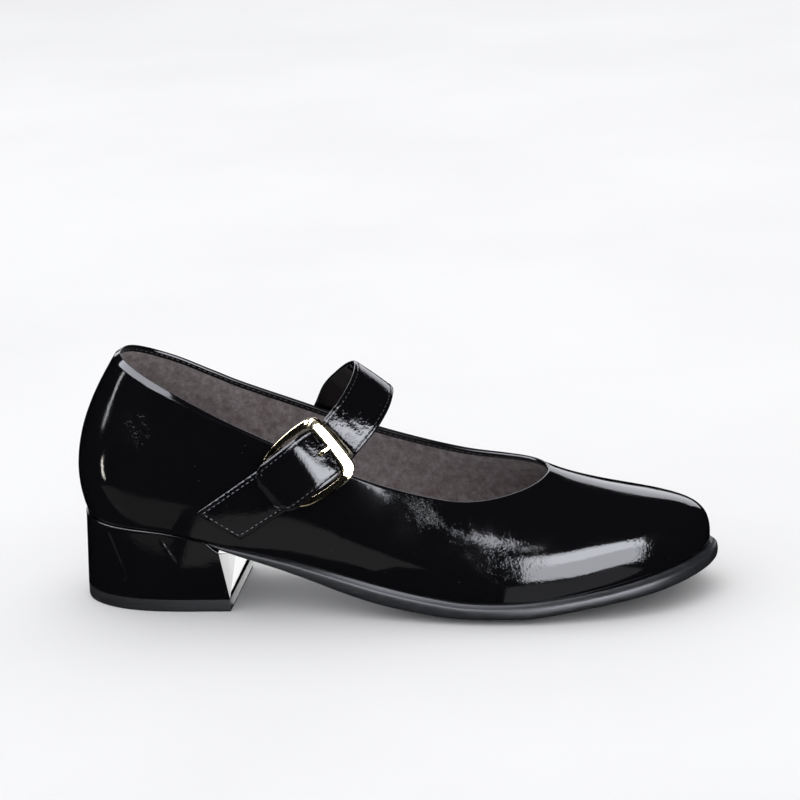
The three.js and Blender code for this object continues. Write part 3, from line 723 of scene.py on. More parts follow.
def make_materials():
    """Every material by its key, in the colours of the panel."""
    c = bpy.context.scene.shoe_colours
    return {
        "patent": patent_leather("patent_leather_poured_film", c.leather, c.dust),
        "cover": patent_leather("patent_leather_stretched_over_heel", c.leather, c.dust, 0.16, False),
        "strap": patent_leather("patent_leather_folded_strap", c.leather, c.dust, 0.9),
        "lining": microfibre("microfibre_lining_brushed", c.lining, c.lining_middle, c.lining_light),
        "sole": moulded_rubber("moulded_sole_compound", c.sole, c.sole_light, 0.4),
        "tip": moulded_rubber("moulded_heel_tip_rubber", c.tip, c.sole, 0.5),
        "gold": plated_gold("pale_gold_plated_casting", c.gold),
        # Both threads carry a painted glint and painted shade on their twist; the black one paints them with
        # the leather and tip colours.
        "thread": twisted_thread("bonded_polyester_thread", c.thread, c.thread_painted_glint),
        "black_thread": twisted_thread("black_polyester_thread", c.leather, c.tip),
        "floor": paper_sweep("paper_sweep", c.floor, c.floor_light),
    }


MATERIALS = {}


def material(key):
    """The material of that key; all of them are made when the first is asked for."""
    if not MATERIALS:
        MATERIALS.update(make_materials())
    return MATERIALS[key]


def dress(piece, key, replaces=()):
    """Gives a finished piece its material and its body, and hides the CAD parts that it replaces."""
    piece.data.materials.clear()
    piece.data.materials.append(material(key))
    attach(piece, "root")
    if replaces:
        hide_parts(*replaces)
    return piece


# ---------------------------------------------------------------- the pieces' shapes

# Creases of the leather, listed one by one on the outer side (-1) or the inner (1): where each runs from
# and to, along the shoe and above the floor, how wide its trough is and how deep. Millimetres.
CREASES = (
    (-1, 152, 44, 160, 30, 3.6, 0.35),
    (-1, 160, 40, 166, 24, 4.2, 0.32),
    (-1, 168, 38, 172, 20, 4.5, 0.3),
    (-1, 143, 40, 150, 33, 3.0, 0.22),
    (-1, 30, 80, 40, 64, 6.0, 0.35),
    (-1, 36, 60, 52, 54, 5.0, 0.3),
    (-1, 22, 60, 30, 48, 5.0, 0.25),
    (1, 160, 42, 168, 28, 4.0, 0.32),
    (1, 170, 38, 176, 22, 4.5, 0.3),
    (1, 34, 66, 50, 56, 5.0, 0.3),
)
# Where the film is most crinkled: the side, the place along the shoe and above the floor, how far it
# spreads from there, and how strong it is.
CRINKLES = (
    (-1, 158, 38, 10, 0.45),
    (-1, 172, 27, 10, 0.8),
    (-1, 184, 23, 8, 0.6),
    (-1, 141, 45, 8, 0.9),
    (-1, 31, 74, 12, 1.0),
    (-1, 40, 66, 12, 0.9),
    (-1, 5, 86, 10, 1.0),
    (1, 3, 86, 10, 1.0),
    (-1, 224, 27, 7, 0.8),
    (1, 165, 34, 20, 0.9),
    (1, 42, 60, 18, 0.8),
    (1, 110, 42, 18, 0.7),
)


def crease_depth(points):
    """How far the leather's surface sinks at points of the upper, in millimetres."""
    depth = np.zeros(points.shape[:-1])
    share = bpy.context.scene.shoe_sizes.crease_share
    for side, from_x, from_z, to_x, to_z, width, deep in CREASES:
        a, run = np.array([from_x, from_z]), np.array([to_x - from_x, to_z - from_z])
        rel = points[..., [0, 2]] - a
        along = (rel @ run) / (run @ run)
        off = np.linalg.norm(rel - np.clip(along, 0, 1)[..., None] * run, axis=-1)
        same = points[..., 1] * side > 0
        # A trough with a low ridge along its middle.
        ridge = 1 - 0.4 * np.cos(off / width * 2.2)
        depth += same * deep * share * np.exp(-((off / width) ** 2)) * ridge
    return depth


def crinkle(points, base=0.09):
    """How strongly the film is pebbled at points of the upper, and everywhere else by base."""
    amount = np.full(points.shape[:-1], base)
    for side, x, z, reach, most in CRINKLES:
        off = np.hypot(points[..., 0] - x, points[..., 2] - z)
        amount = np.maximum(amount, (points[..., 1] * side > 0) * most * np.exp(-((off / reach) ** 2)))
    return amount


def upper_shell():
    """The leather: outer skin, rolled topline, the folded band inside it, and its flesh side."""
    around_count, outer_rows = 520, 84
    s = (np.arange(around_count) / around_count)[:, None]
    top_speed = rib_speed(s, np.ones_like(s))
    edge, edge_out = surface(s, np.ones_like(s)), normal(s, np.ones_like(s))
    # The roll is fuller round the back of the heel, where it's padded.
    sizes = bpy.context.scene.shoe_sizes
    padding = sizes.topline_padding * (1 - smoothstep(edge[..., 0], 22, 84))
    roll = (sizes.topline_roll + padding) / MM
    t_roll, t_band = 1 - roll / top_speed, 1 - BAND_WIDTH / top_speed
    rows = []
    share = np.linspace(0, 1, outer_rows) ** 0.92
    t = share[None] * t_roll
    skin, out = surface(s, t), normal(s, t)
    waves = bumps(skin, size=26, seed=1) * 0.16 + bumps(skin, size=11, seed=2) * 0.05
    near_edge = smoothstep(1 - share, 0, 0.06) * smoothstep(share, 0, 0.04)
    rows.append(skin + out * ((waves - crease_depth(skin)) * near_edge[None])[..., None])
    # The roll over the topline, a half circle as thick as leather and lining together.
    climb = unit(edge - surface(s, np.ones_like(s) - 0.01))
    centre = edge - edge_out - climb * roll[..., None]
    turn = np.linspace(0, math.pi, 18)[1:-1][None, :, None]
    # Outside it's a broad facet that narrows forward, inside it stands upright and turns in sharply.
    facet = 2 - smoothstep(edge[..., :1], 40, 90)
    flat = np.where(np.cos(turn) > 0, facet, 0.75)
    over = np.sign(np.cos(turn)) * np.abs(np.cos(turn)) ** flat
    rows.append(centre + edge_out * over + climb * roll[..., None] * np.sin(turn) ** flat)
    for depth, first, last, count in (
        (BAND_DEPTH, t_roll, t_band, 4),
        (LEATHER + 0.05, t_band, np.zeros_like(s), 14),
    ):
        t = first + (last - first) * np.linspace(0, 1, count)[None]
        rows.append(surface(s, t) - normal(s, t) * depth)
    piece = shaped_ring("upper_leather", np.concatenate(rows, 1))
    paint(piece, "crinkle", crinkle(in_drawing(piece)))
    return piece


def upper_lining():
    """The lining's back against the leather, and its napped face, which ends under the band."""
    around_count, back, face = 360, 1.4, 1.93
    s = (np.arange(around_count) / around_count)[:, None]
    t_top = 1 - 1.7 / rib_speed(s, np.ones_like(s))
    rows = []
    for depth, first, last, count in (
        (back, np.zeros_like(s), t_top, 10),
        (face, t_top, np.zeros_like(s), 44),
    ):
        t = first + (last - first) * np.linspace(0, 1, count)[None]
        skin = surface(s, t)
        soft = bumps(skin, size=14, seed=5) * 0.05 * (depth == face)
        rows.append(skin - normal(s, t) * (depth + soft)[..., None])
    return shaped_ring("upper_lining", np.concatenate(rows, 1))


def topline_stitches():
    """A row of stitches on the band inside the topline."""
    s = np.linspace(0, 1, 900)
    below_edge = 1.6
    t = 1 - below_edge / rib_speed(s, np.ones_like(s))
    out = normal(s, t)
    return stitches("topline_stitches", surface(s, t) - out * BAND_DEPTH, -out, height=0.14)


def side_places(start_s, count):
    """s from start_s to the toe on the outer side, and from its mirror place on the inner side."""
    share = np.sin(np.linspace(0, 1, count) * math.pi / 2)
    return start_s[0] + (0.5 - start_s[0]) * share, start_s[1] + (0.5 - start_s[1]) * share


def s_at(x):
    """s where each side of the feather line passes x."""
    fine = np.linspace(0.02, 0.46, 2000)
    outer = np.interp(x, RIB["x"](fine), fine)
    inner = 1 - np.interp(x, RIB["x"](1 - fine), fine)
    return outer, inner


def slab(name, outer_levels, inner_levels, face_rows, angle):
    """A flat-lying body, such as a sole. The levels hold its two edges from top to bottom, as arrays of
    points along the shoe, and face_rows joins them across the top and the bottom with a height."""
    top_height, bottom_height, columns = face_rows
    across = np.linspace(0, 1, columns + 2)[1:-1][None, :, None]

    def face(a, b, height):
        rows = a[:, None] + (b - a)[:, None] * across
        rows[..., 2] = height(rows)
        return rows

    outer, inner = np.stack(outer_levels, 1), np.stack(inner_levels, 1)
    top = face(inner[:, 0], outer[:, 0], top_height)
    bottom = face(outer[:, -1], inner[:, -1], bottom_height)
    points = np.concatenate([outer, bottom, inner[:, ::-1], top], 1)
    first, last = points[0].mean(0), points[-1].mean(0)
    return shaped_body(name, points, first, last, angle, merge=2e-6)


def sole_rim(x):
    """How far the sole's edge stands out from the feather line."""
    rim = -0.4 + 2.0 * smoothstep(x, 60, 130)
    return rim + (3.0 - rim) * smoothstep(x, 190, 245)


def sole_crown(x):
    """How far the sole's edge curves up from its tread."""
    return 0.2 + 1.7 * smoothstep(x, 105, 150) * (1 - 0.7 * smoothstep(x, 185, 235))


def outsole_shape():
    """The sole with a rounded welt lip, a fine groove under it, and an edge that curves into the tread."""
    places = side_places(s_at(SOLE_TAIL), count=260)
    # Edge profile: how far out from the rim, and the share of the way down the edge.
    profile = (
        (-5.0, 0.0),
        (-1.9, 0.0),
        (-1.55, 0.06),
        (-1.2, 0.13),
        (-0.65, 0.19),
        (-0.2, 0.25),
        (0.03, 0.33),
        (0.12, 0.44),
        (0.12, 0.58),
        (0.02, 0.72),
        (-0.25, 0.84),
        (-0.9, 0.95),
        (-2.4, 1.0),
    )
    levels = []
    for s in places:
        rim = sole_rim(RIB["x"](s))
        side = []
        for out, share in profile:
            point = feather(s, rim + out)
            x = point[:, 0]
            high, low = feather_height(x) - GAP, sole_bottom(x) + sole_crown(x)
            point[:, 2] = high + (low - high) * share
            side.append(point)
        levels.append(side)

    def top(rows):
        return feather_height(rows[..., 0]) - GAP

    def bottom(rows):
        return sole_bottom(rows[..., 0])

    return slab("outsole_moulded", levels[0], levels[1], (top, bottom, 13), angle=35)


def insole_shape():
    """A sock on foam: a little dished, with turned-down edges."""
    levels = []
    for side in (-1, 1):
        q = np.linspace(0, 1, 200)
        s = q / 2 if side < 0 else 1 - q / 2
        rows = []
        for out, share in ((-0.5, 0.9), (-0.12, 0.75), (0, 0.4), (0, 0.0)):
            point = feather(s, out - SOCK_INSET)
            point[:, 2] = feather_height(point[:, 0]) + SOCK_LIFT + SOCK_THICKNESS * share
            rows.append(point)
        levels.append(rows)

    def top(rows):
        half = np.maximum(np.abs(rows[..., 1]).max(1, keepdims=True), 1.0)
        dish = 0.5 * (1 - (rows[..., 1] / half) ** 2)
        return bottom(rows) + SOCK_THICKNESS - dish * smoothstep(half, 4, 14)

    def bottom(rows):
        return feather_height(rows[..., 0]) + SOCK_LIFT

    return slab("insole_sock", levels[0], levels[1], (top, bottom, 15), angle=50)


def heel_outline(side, q, share):
    """The heel's outline at a share of its height: q runs from the back to its front face."""
    ends = s_at(BREAST)
    start, end = (0.0, ends[0]) if side < 0 else (1.0, ends[1])
    s = start + (end - start) * q
    top = feather(s, HEEL_RIM * (1 - 0.75 * q))
    pull = smoothstep(q, 0.9, 1)
    top[:, 0] = top[:, 0] + (BREAST - top[:, 0]) * pull
    back = RIB["x"](0.0)
    reach = (top[:, 0] - (back - HEEL_RIM)) / (BREAST - back + HEEL_RIM)
    low = np.stack([top[:, 0] - 1.8 + 4.4 * reach, top[:, 1] * 0.92 + 1, np.zeros_like(q)], 1)
    return low + (top * [1, 1, 0] - low) * np.asarray(share)


def seat_height(x):
    """The top of the heel: under the seat, and let down in front where the sole's tail lies on it."""
    cut = np.clip((x - (SOLE_TAIL - 0.6)) / (BREAST - SOLE_TAIL + 0.6), 0, 1)
    under = sole_bottom(np.array(BREAST)) - GAP
    return feather_height(x) - GAP + (under - feather_height(x) + GAP) * cut


# Creases in the heel's cover: from and to, along and above the floor, on the outer side.
COVER_CREASES = ((14.5, 31.5, 23.0, 7.0), (36.5, 31.0, 41.0, 22.0))
COVER_CREASE_HEIGHT = 0.34
COVER_CREASE_WIDTH = 0.5


def heel_creases(point):
    """How far the cover stands out along its creases, at points of its outer side."""
    ridge = np.zeros(len(point))
    for x0, z0, x1, z1 in COVER_CREASES:
        run = np.array([x1 - x0, z1 - z0])
        rel = point[:, [0, 2]] - [x0, z0]
        along = np.clip((rel @ run) / (run @ run), 0, 1)
        off = np.linalg.norm(rel - along[:, None] * run, axis=1)
        ridge += COVER_CREASE_HEIGHT * np.exp(-((off / COVER_CREASE_WIDTH) ** 2))
    return ridge


def heel_shape():
    """The covered heel: leather turned in at the top edge and tight round the front corners."""
    lowest, count, rows = TIP_HEIGHT + GAP, 220, 40
    q = np.linspace(0, 1, count)
    # Each level: how far out of the outline, its share of the height, and how far above that.
    profile = [(-0.6, 1.0, 0.0), (-0.25, 1.0, -0.03), (-0.02, 1.0, -0.14), (0.1, 1.0, -0.36)]
    profile += [(0.1, 1.0, -0.62), (0.0, 1.0, -0.86)]
    profile += [(0.0, 1 - k / rows, -0.86 * (1 - k / rows)) for k in range(1, rows)]
    profile += [(0.0, 0.0, 0.35), (-0.3, 0.0, 0.06), (-0.9, 0.0, 0.0)]
    sides = []
    for side in (-1, 1):
        levels = []
        for out, share, lift in profile:
            point = heel_outline(side, q, share)
            behind = heel_outline(side, np.maximum(q - 0.01, 0), share)
            ahead = heel_outline(side, np.minimum(q + 0.01, 1), share)
            run = ahead - behind
            away = unit(np.stack([-side * run[:, 1], side * run[:, 0], np.zeros(count)], 1))
            point = point + away * out
            point[:, 2] = lowest + (seat_height(point[:, 0]) - lowest) * share + lift
            if side < 0:
                point = point + away * heel_creases(point)[:, None]
            levels.append(point)
        sides.append(levels)

    def top(rows):
        return seat_height(rows[..., 0])

    def bottom(rows):
        return np.full(rows.shape[:-1], lowest)

    return slab("heel_cover", sides[0], sides[1], (top, bottom, 9), angle=38)


def tip_shape():
    """The heel's rubber tip: its outline extruded down to the floor, with the rims bevelled."""
    q = np.linspace(0, 1, 110)
    outline = np.concatenate([heel_outline(-1, q, 0.0), heel_outline(1, q[:0:-1], 0.0)])
    circle = bpy.ops.mesh.primitive_circle_add
    piece = start(circle, "heel_tip", vertices=len(outline), radius=1, fill_type="NGON")
    co = coordinates(piece.data)
    turn = np.arctan2(co[:, 1], co[:, 0])
    order = np.argsort(np.argsort(turn))
    set_coordinates(piece.data, outline[order] + [0, 0, TIP_HEIGHT])
    bpy.ops.object.mode_set(mode="EDIT")
    bpy.ops.mesh.select_all(action="SELECT")
    bpy.ops.mesh.extrude_region_move(TRANSFORM_OT_translate={"value": (0, 0, -TIP_HEIGHT * MM)})
    bpy.ops.mesh.bevel(offset=0.7 * MM, segments=4, affect="EDGES")
    return tidy(piece, angle=38)


def tilted(x, z, tilt, off):
    """A place off the strap's middle line, which slopes down to the toe by tilt degrees."""
    return x + off * math.cos(math.radians(tilt)), z - off * math.sin(math.radians(tilt))


def strap_middle(length_count, width_count):
    """The strap's middle surface: rows along it, columns across it, and how far along each row is."""
    lines = []
    for off in np.linspace(-1, 1, width_count) * STRAP_WIDTH / 2:
        points = [in_buckle(u, off, n) for u, n in THREAD_ROWS]
        for x, y, z, tilt in ARCH_ROWS:
            across_x, across_z = tilted(x, z, tilt, off)
            points.append((across_x, y, across_z))
        for x, z, tilt in STRAP_END_ROWS:
            points.append(on_side(1, *tilted(x, z, tilt, off), STRAP_THICKNESS / 2 + 3 * GAP))
        lines.append(smooth_path(points, length_count))
    grid = np.stack(lines, 1)
    centre = grid[:, width_count // 2]
    return grid, centre, run_along(centre)


def strap_width_share(run):
    """The strap's width as a share of its usual one: wide from the rounded tip up to the buckle."""
    tip_share = STRAP_TIP_WIDTH / STRAP_WIDTH
    wide = tip_share + (1 - tip_share) * smoothstep(run, 26, 37)
    round_end = np.minimum(run / STRAP_TIP_LENGTH, 1)
    return wide * np.sqrt(np.maximum(0, 1 - (1 - round_end) ** 2))


class Strap:
    """The strap's surface, for its leather and its stitches."""

    def __init__(self, length_count=420, width_count=9):
        self.grid, self.centre, self.run = strap_middle(length_count, width_count)
        self.count = length_count
        side = unit(self.grid[:, -1] - self.grid[:, 0])
        forward = unit(np.gradient(self.centre, axis=0))
        self.normals = unit(np.cross(side, forward))
        if self.normals[4] @ BUCKLE_N < 0:
            self.normals = -self.normals

    def at(self, i, v, lift):
        """Points at rows i, places v across (1 is the edge, before the tip narrows) and lift outwards."""
        last = self.grid.shape[1] - 1
        place = (np.asarray(v) + 1) / 2 * last
        low = np.clip(np.floor(place).astype(int), 0, last - 1)
        part = (place - low)[..., None]
        flat = self.grid[i, low] * (1 - part) + self.grid[i, low + 1] * part
        share = np.maximum(strap_width_share(self.run[i]), 0.02)[..., None]
        raised = self.normals[i] * np.asarray(lift)[..., None]
        return self.centre[i] + (flat - self.centre[i]) * share + raised


# Where the strap is crumpled most, in the drawing's axes.
CRUMPLED = (113.0, -24.0, 76.0)
# The hole that the prong comes through, in the buckle's axes.
HOLE_AT = 5.5
HOLE_HALF_LENGTH = 2.5
HOLE_HALF_WIDTH = 1.5
HOLE_DEPTH = 9.0


def cut_hole(strap_piece):
    """Cuts the prong's hole through the strap's leather."""
    cylinder = bpy.ops.mesh.primitive_cylinder_add
    hole = start(cylinder, "hole_cutter", vertices=32, radius=1.0, depth=1.0)
    along, across, through_strap = coordinates(hole.data).T
    along, across = HOLE_AT + along * HOLE_HALF_LENGTH, across * HOLE_HALF_WIDTH
    set_coordinates(hole.data, in_buckle(along, across, through_strap * HOLE_DEPTH))
    cut = strap_piece.modifiers.new("hole", "BOOLEAN")
    cut.operation, cut.object, cut.solver = "DIFFERENCE", hole, "EXACT"
    select_only(strap_piece)
    bpy.ops.object.modifier_apply(modifier="hole")
    bpy.data.objects.remove(hole)


def strap_shape(strap):
    """The folded strap: rounded edges, a fine sunk line under the stitches, a slightly full middle."""
    # From the middle of the face to its edge: share of the half width, share of the half thickness.
    face = ((0.0, 1.21), (0.2, 1.2), (0.4, 1.18), (0.6, 1.14), (0.74, 1.08), (0.79, 1.02), (0.81, 0.93))
    edge = ((0.83, 0.93), (0.85, 1.02), (0.88, 1.06), (0.93, 0.98), (0.97, 0.8), (0.995, 0.45), (1.0, 0.0))
    under = ((0.99, -0.5), (0.96, -0.85), (0.9, -1.0), (0.45, -1.0))
    half = np.array(face[1:] + edge + under)
    section = np.concatenate([half[-5::-1] * [-1, 1], face[:1], half, [(0, -1.0)], half[:-5:-1] * [-1, 1]])
    i = np.arange(1, strap.count)[:, None] + np.zeros(len(section), int)[None]
    v = np.zeros(i.shape) + section[None, :, 0]
    height = np.zeros(i.shape) + section[None, :, 1] * STRAP_THICKNESS / 2
    # The ends thin out to a rounded edge.
    near, far = strap.run, strap.run[-1] - strap.run
    thin = np.sqrt(np.clip(near / 1.2, 0.02, 1) * np.clip(far / 0.8, 0.02, 1))
    points = strap.at(i, v, height * thin[i])
    # It's crumpled where it bends down to the buckle.
    bent = np.exp(-(((strap.run[i] - 45) / 9) ** 2)) + 0.6 * np.exp(-(((strap.run[i] - 27) / 5) ** 2))
    waves = bumps(points, size=9, seed=8) * 0.1 + bumps(points, size=3, seed=9) * 0.2 * bent
    points = points + strap.normals[i] * (waves * (section[None, :, 1] > 0.7))[..., None]
    piece = shaped_body("strap_leather", points, strap.centre[0], points[-1].mean(0))
    cut_hole(piece)
    bpy.ops.object.shade_smooth_by_angle(angle=math.radians(38))
    off = np.linalg.norm(in_drawing(piece) - CRUMPLED, axis=1)
    paint(piece, "crinkle", np.maximum(0.35, 2.4 * np.exp(-((off / 13) ** 2))))
    return piece


def strap_stitches(strap):
    """One row 1.7 mm inside the edge, all along both sides and round the tip, and across the far end."""
    inside, turn = 0.82, 28
    first, last = 14, strap.count - 5
    rows = np.arange(first, last)
    across = np.linspace(-inside, inside, turn + 2)[1:-1]
    i = np.concatenate([rows[::-1], np.full(turn, first), rows, np.full(turn, last)])
    v = np.concatenate([np.full(len(rows), -inside), across, np.full(len(rows), inside), across[::-1]])
    path = strap.at(i, v, np.full(len(i), STRAP_THICKNESS / 2 * 0.98))
    return stitches("strap_stitches", path, strap.normals[i], height=0.2)


# The tab's corners, along the shoe and above the floor.
TAB_CORNERS = ((51.5, 42.9), (68.5, 31.8), (80.4, 62.2), (93.2, 47.4))


def tab_place(u, v):
    """Where share u of its length and v of its width lie, along the shoe and above the floor."""
    rear_low, front_low, rear_top, front_top = (np.array(c) for c in TAB_CORNERS)
    u, v = np.asarray(u, float)[..., None], np.asarray(v, float)[..., None]
    return (rear_low * (1 - u) + rear_top * u) * (1 - v) + (front_low * (1 - u) + front_top * u) * v


def loop_round_bar(name, low, high, edges):
    """A loop round the buckle's back bar, from low to high across it, as thick as its edges say."""
    turn = np.linspace(0, TAU, 40, endpoint=False)
    places = [(low + inset, radius) for inset, radius in edges]
    places += [(high - inset, radius) for inset, radius in reversed(edges)]
    # Its hole is a little wider than the bar.
    bore = BAR_RADIUS + 0.45
    rings = []
    for w, radius in places + [(high, bore), (low, bore)]:
        rings.append(in_buckle(BAR_AT + radius * np.cos(turn), np.full(40, w), radius * np.sin(turn)))
    return shaped_ring(name, np.stack(rings, 1), angle=50)


def join_to(piece, others):
    """Joins the other pieces into this one."""
    select_only(piece, *others)
    bpy.ops.object.join()
    return piece


def tab_shape():
    """The stitched tab, with a sunk line beside its edges, and its two loops round the buckle's bar."""
    # From one long edge to the middle: the place across the tab and the height over the leather.
    edge = ((0.0, 0.1), (0.0, 0.7), (0.008, 1.05), (0.03, 1.2), (0.07, 1.22))
    face = ((0.085, 1.14), (0.1, 1.14), (0.115, 1.22), (0.3, 1.28))
    half = np.array(edge + face)
    under = [(0.75, 0.1), (0.5, 0.1), (0.25, 0.1)]
    section = np.concatenate([half, [(0.5, 1.3)], half[::-1] * [-1, 1] + [1, 0], under])
    u = np.concatenate([[0.0, 0.006, 0.02], np.linspace(0.045, 1, 70)])
    thin = np.concatenate([[0.55, 0.86, 0.99], np.ones(70)])[:, None]
    place = tab_place(u[:, None] + 0 * section[None, :, 0], section[None, :, 0] + 0 * u[:, None])
    points = on_side(-1, place[..., 0], place[..., 1], section[None, :, 1] * thin)
    sheet = shaped_body("buckle_tab_leather", points, points[0].mean(0), points[-1].mean(0), angle=50)
    rounded = ((0.0, 1.9), (0.12, 2.12), (0.5, 2.2))
    loops = [loop_round_bar("tab_loop", low, low + 5.4, rounded) for low in (-7.4, 2.0)]
    join_to(sheet, loops)
    paint(sheet, "crinkle", np.full(len(sheet.data.vertices), 0.3))
    return sheet


def tab_stitches():
    """A row down the rear edge, along the end and up the front edge."""
    margin, end = 0.092, 0.05
    lane = np.linspace(0.93, end, 60)
    u = np.concatenate([lane, np.full(30, end), lane[::-1]])
    v = np.concatenate([np.full(60, margin), np.linspace(margin, 1 - margin, 30), np.full(60, 1 - margin)])
    place = tab_place(u, v)
    s, t = find_side(-1, place[:, 0], place[:, 1])
    out = normal(s, t)
    path = surface(s, t) + out * 0.98 * TAB_THICKNESS
    return stitches("buckle_tab_stitches", path, out, height=0.22)


def buckle_shape():
    """A cast barrel-shaped frame: a broad domed front bar, flat bevelled arms, a round back bar."""
    count, section = 200, 28
    front_bar, arm, thickness = 4.2, 2.8, 1.2
    back_bar = 2 * BAR_RADIUS
    power, taper, barrel, bow = 9, 0.064, 0.128, 0.04

    def outline(angle, half_length, half_width, shift):
        c, s = np.cos(angle), np.sin(angle)
        size = (np.abs(c) ** power + np.abs(s) ** power) ** (-1 / power)
        along, across = c * size, s * size
        u = along * np.where(along > 0, 1 - bow * across**2, 1) * half_length + shift
        return u, across * half_width * (1 + taper * along - barrel * along**2)

    # More places near the corners, where the outline turns.
    even = np.linspace(0, TAU, count, endpoint=False)
    angle = even - 0.17 * np.sin(4 * even + math.pi)
    inner_half = (BUCKLE_LENGTH - front_bar - back_bar) / 2
    outer_u, outer_w = outline(angle, BUCKLE_LENGTH / 2, BUCKLE_WIDTH / 2, 0)
    inner_u, inner_w = outline(angle, inner_half, BUCKLE_WIDTH / 2 - arm, (back_bar - front_bar) / 2)
    turn = np.linspace(0, TAU, section, endpoint=False)
    c, s = np.cos(turn)[None], np.sin(turn)[None]
    front = smoothstep(outer_u, 9.5, 12.5)[:, None]
    round_back = 1 - smoothstep(outer_u, -12.5, -9)[:, None]
    boxy = 0.3 + 0.4 * round_back
    out = 0.5 + 0.5 * np.sign(c) * np.abs(c) ** boxy
    half = (BAR_RADIUS + (thickness - BAR_RADIUS) * smoothstep(outer_u, -11, -6))[:, None]
    rise = np.sign(s) * np.abs(s) ** (0.3 + 0.7 * round_back)
    # The front bar's face falls away towards the front.
    fall = front * np.where(s > 0, 0.75 * out + 0.4 * out**2, 0.35 * out)
    points = in_buckle(
        inner_u[:, None] + (outer_u - inner_u)[:, None] * out,
        inner_w[:, None] + (outer_w - inner_w)[:, None] * out,
        half * (rise + 0.25 * front * (s > 0)) - fall * half,
    )
    return shaped_ring("buckle_frame_cast", points)


# The prong's middle line, along the buckle and out of it.
PRONG_ROWS = (
    (-12.4, -0.9),
    (-7, -1.4),
    (-3, -1.75),
    (0, -1.75),
    (2.2, -1.6),
    (4, -1.1),
    (5.3, 0.2),
    (6.3, 1.6),
    (7.6, 2.35),
    (9.2, 2.45),
    (11, 2.25),
    (12.2, 2.05),
)


def prong_shape():
    """The pin: a loop round the bar, a bent shank, and a blunt tip on the front bar."""
    count, half_width, half_height = 90, 1.05, 0.62
    path = smooth_path([in_buckle(u, 0, n) for u, n in PRONG_ROWS], count)
    forward = unit(np.gradient(path, axis=0))
    up = unit(np.cross(forward, BUCKLE_W))
    if up[0] @ BUCKLE_N < 0:
        up = -up
    turn = np.linspace(0, TAU, 20, endpoint=False)[None, :, None]
    place = np.linspace(0, 1, count)
    narrow = (1 - 0.4 * smoothstep(place, 0.8, 1)) * np.sqrt(np.clip((1 - place) / 0.02, 0.05, 1))
    wide = (half_width * narrow)[:, None, None]
    points = path[:, None] + BUCKLE_W * wide * np.cos(turn) + up[:, None] * half_height * wide * np.sin(turn)
    pin = shaped_body("buckle_prong_pin", points, path[0], path[-1])
    return join_to(pin, [loop_round_bar("prong_loop", -1.2, 1.2, ((0.0, 1.85), (0.15, 2.05)))])


# ---------------------------------------------------------------- the add-on


def colour_property(name, description, default):
    return bpy.props.StringProperty(name=name, description=description, default=default)


def length_property(name, description, millimetres):
    return bpy.props.FloatProperty(
        name=name, description=description, default=millimetres * MM, min=0, precision=5, unit="LENGTH"
    )


def angle_property(name, description, degrees):
    return bpy.props.FloatProperty(
        name=name, description=description, default=math.radians(degrees), subtype="ANGLE"
    )


class ShoeColours(bpy.types.PropertyGroup):
    """The colours of the shoe's materials, as sRGB hex codes"""

    leather: colour_property("Leather", "Patent leather film", "0d0d10")
    dust: colour_property("Dust", "Specks of dust on the leather", "55565c")
    lining: colour_property("Lining", "Microfibre, its dark reddish patches", "69585b")
    lining_middle: colour_property("Lining middle", "Microfibre, where it is evenly brushed", "857a7a")
    lining_light: colour_property("Lining light", "Microfibre, its light patches", "a79d9e")
    sole: colour_property("Sole", "Moulded sole edge", "1c1d21")
    sole_light: colour_property("Sole light", "Flow marks in the sole edge", "2b2c31")
    tip: colour_property("Heel tip", "Rubber under the heel", "101114")
    gold: colour_property("Buckle", "Pale gold plate", "e2d6b4")
    # The stitching's two colours are the painted shade and the painted glint of its twist.
    thread: colour_property("Thread", "Stitching, in the shade of its twist", "34353a")
    thread_painted_glint: colour_property("Thread light", "Stitching, where its twist catches the light", "62646b")
    floor: colour_property("Floor", "Paper sweep", "efeff0")
    floor_light: colour_property("Floor light", "Paper sweep's lighter patches", "f6f6f7")


class ShoeSizes(bpy.types.PropertyGroup):
    """The sizes of the shoe's finish"""

    topline_roll: length_property("Topline roll", "Height of the roll over the topline at the throat", 1.0)
    topline_padding: length_property("Topline padding", "How much higher the roll is round the heel", 1.5)
    grain_depth: length_property("Grain depth", "Depth of the pebble in the leather's film", 0.085)
    stitch_pitch: length_property("Stitch pitch", "From one stitch to the next", 2.3)
    stitch_length: length_property("Stitch length", "Length of one stitch on the surface", 1.5)
    stitch_width: length_property("Stitch width", "Thickness of the thread", 0.46)
    crease_share: bpy.props.FloatProperty(
        name="Creases",
        description="Depth of the flex creases, as a share of a worn-in shoe's",
        default=1.0,
        min=0.0,
        max=2.0,
        subtype="FACTOR",
    )


class ShoeStage(bpy.types.PropertyGroup):
    """The camera's place round the shoe"""

    azimuth: angle_property("Azimuth", "From the outer side towards the toe", 8.5)
    elevation: angle_property("Elevation", "Above the level", 18.5)
    roll: angle_property("Roll", "Turn about the line of sight", 3)
    distance: length_property("Distance", "From the camera to the shoe", 1300)
    lens: bpy.props.FloatProperty(
        name="Lens", description="The camera's focal length", default=148.6, unit="CAMERA"
    )


class SHOE_OT_upper(bpy.types.Operator):
    """Build the patent leather upper with its rolled topline, creases and stitching"""

    bl_idname = "shoe.upper"
    bl_label = "Upper"
    bl_options = {"REGISTER", "UNDO"}

    def execute(self, context):
        dress(upper_shell(), "patent", ["upper"])
        dress(topline_stitches(), "black_thread")
        return {"FINISHED"}


class SHOE_OT_lining(bpy.types.Operator):
    """Build the microfibre lining and the insole"""

    bl_idname = "shoe.lining"
    bl_label = "Lining and insole"
    bl_options = {"REGISTER", "UNDO"}

    def execute(self, context):
        dress(upper_lining(), "lining")
        dress(insole_shape(), "lining", ["insole"])
        return {"FINISHED"}


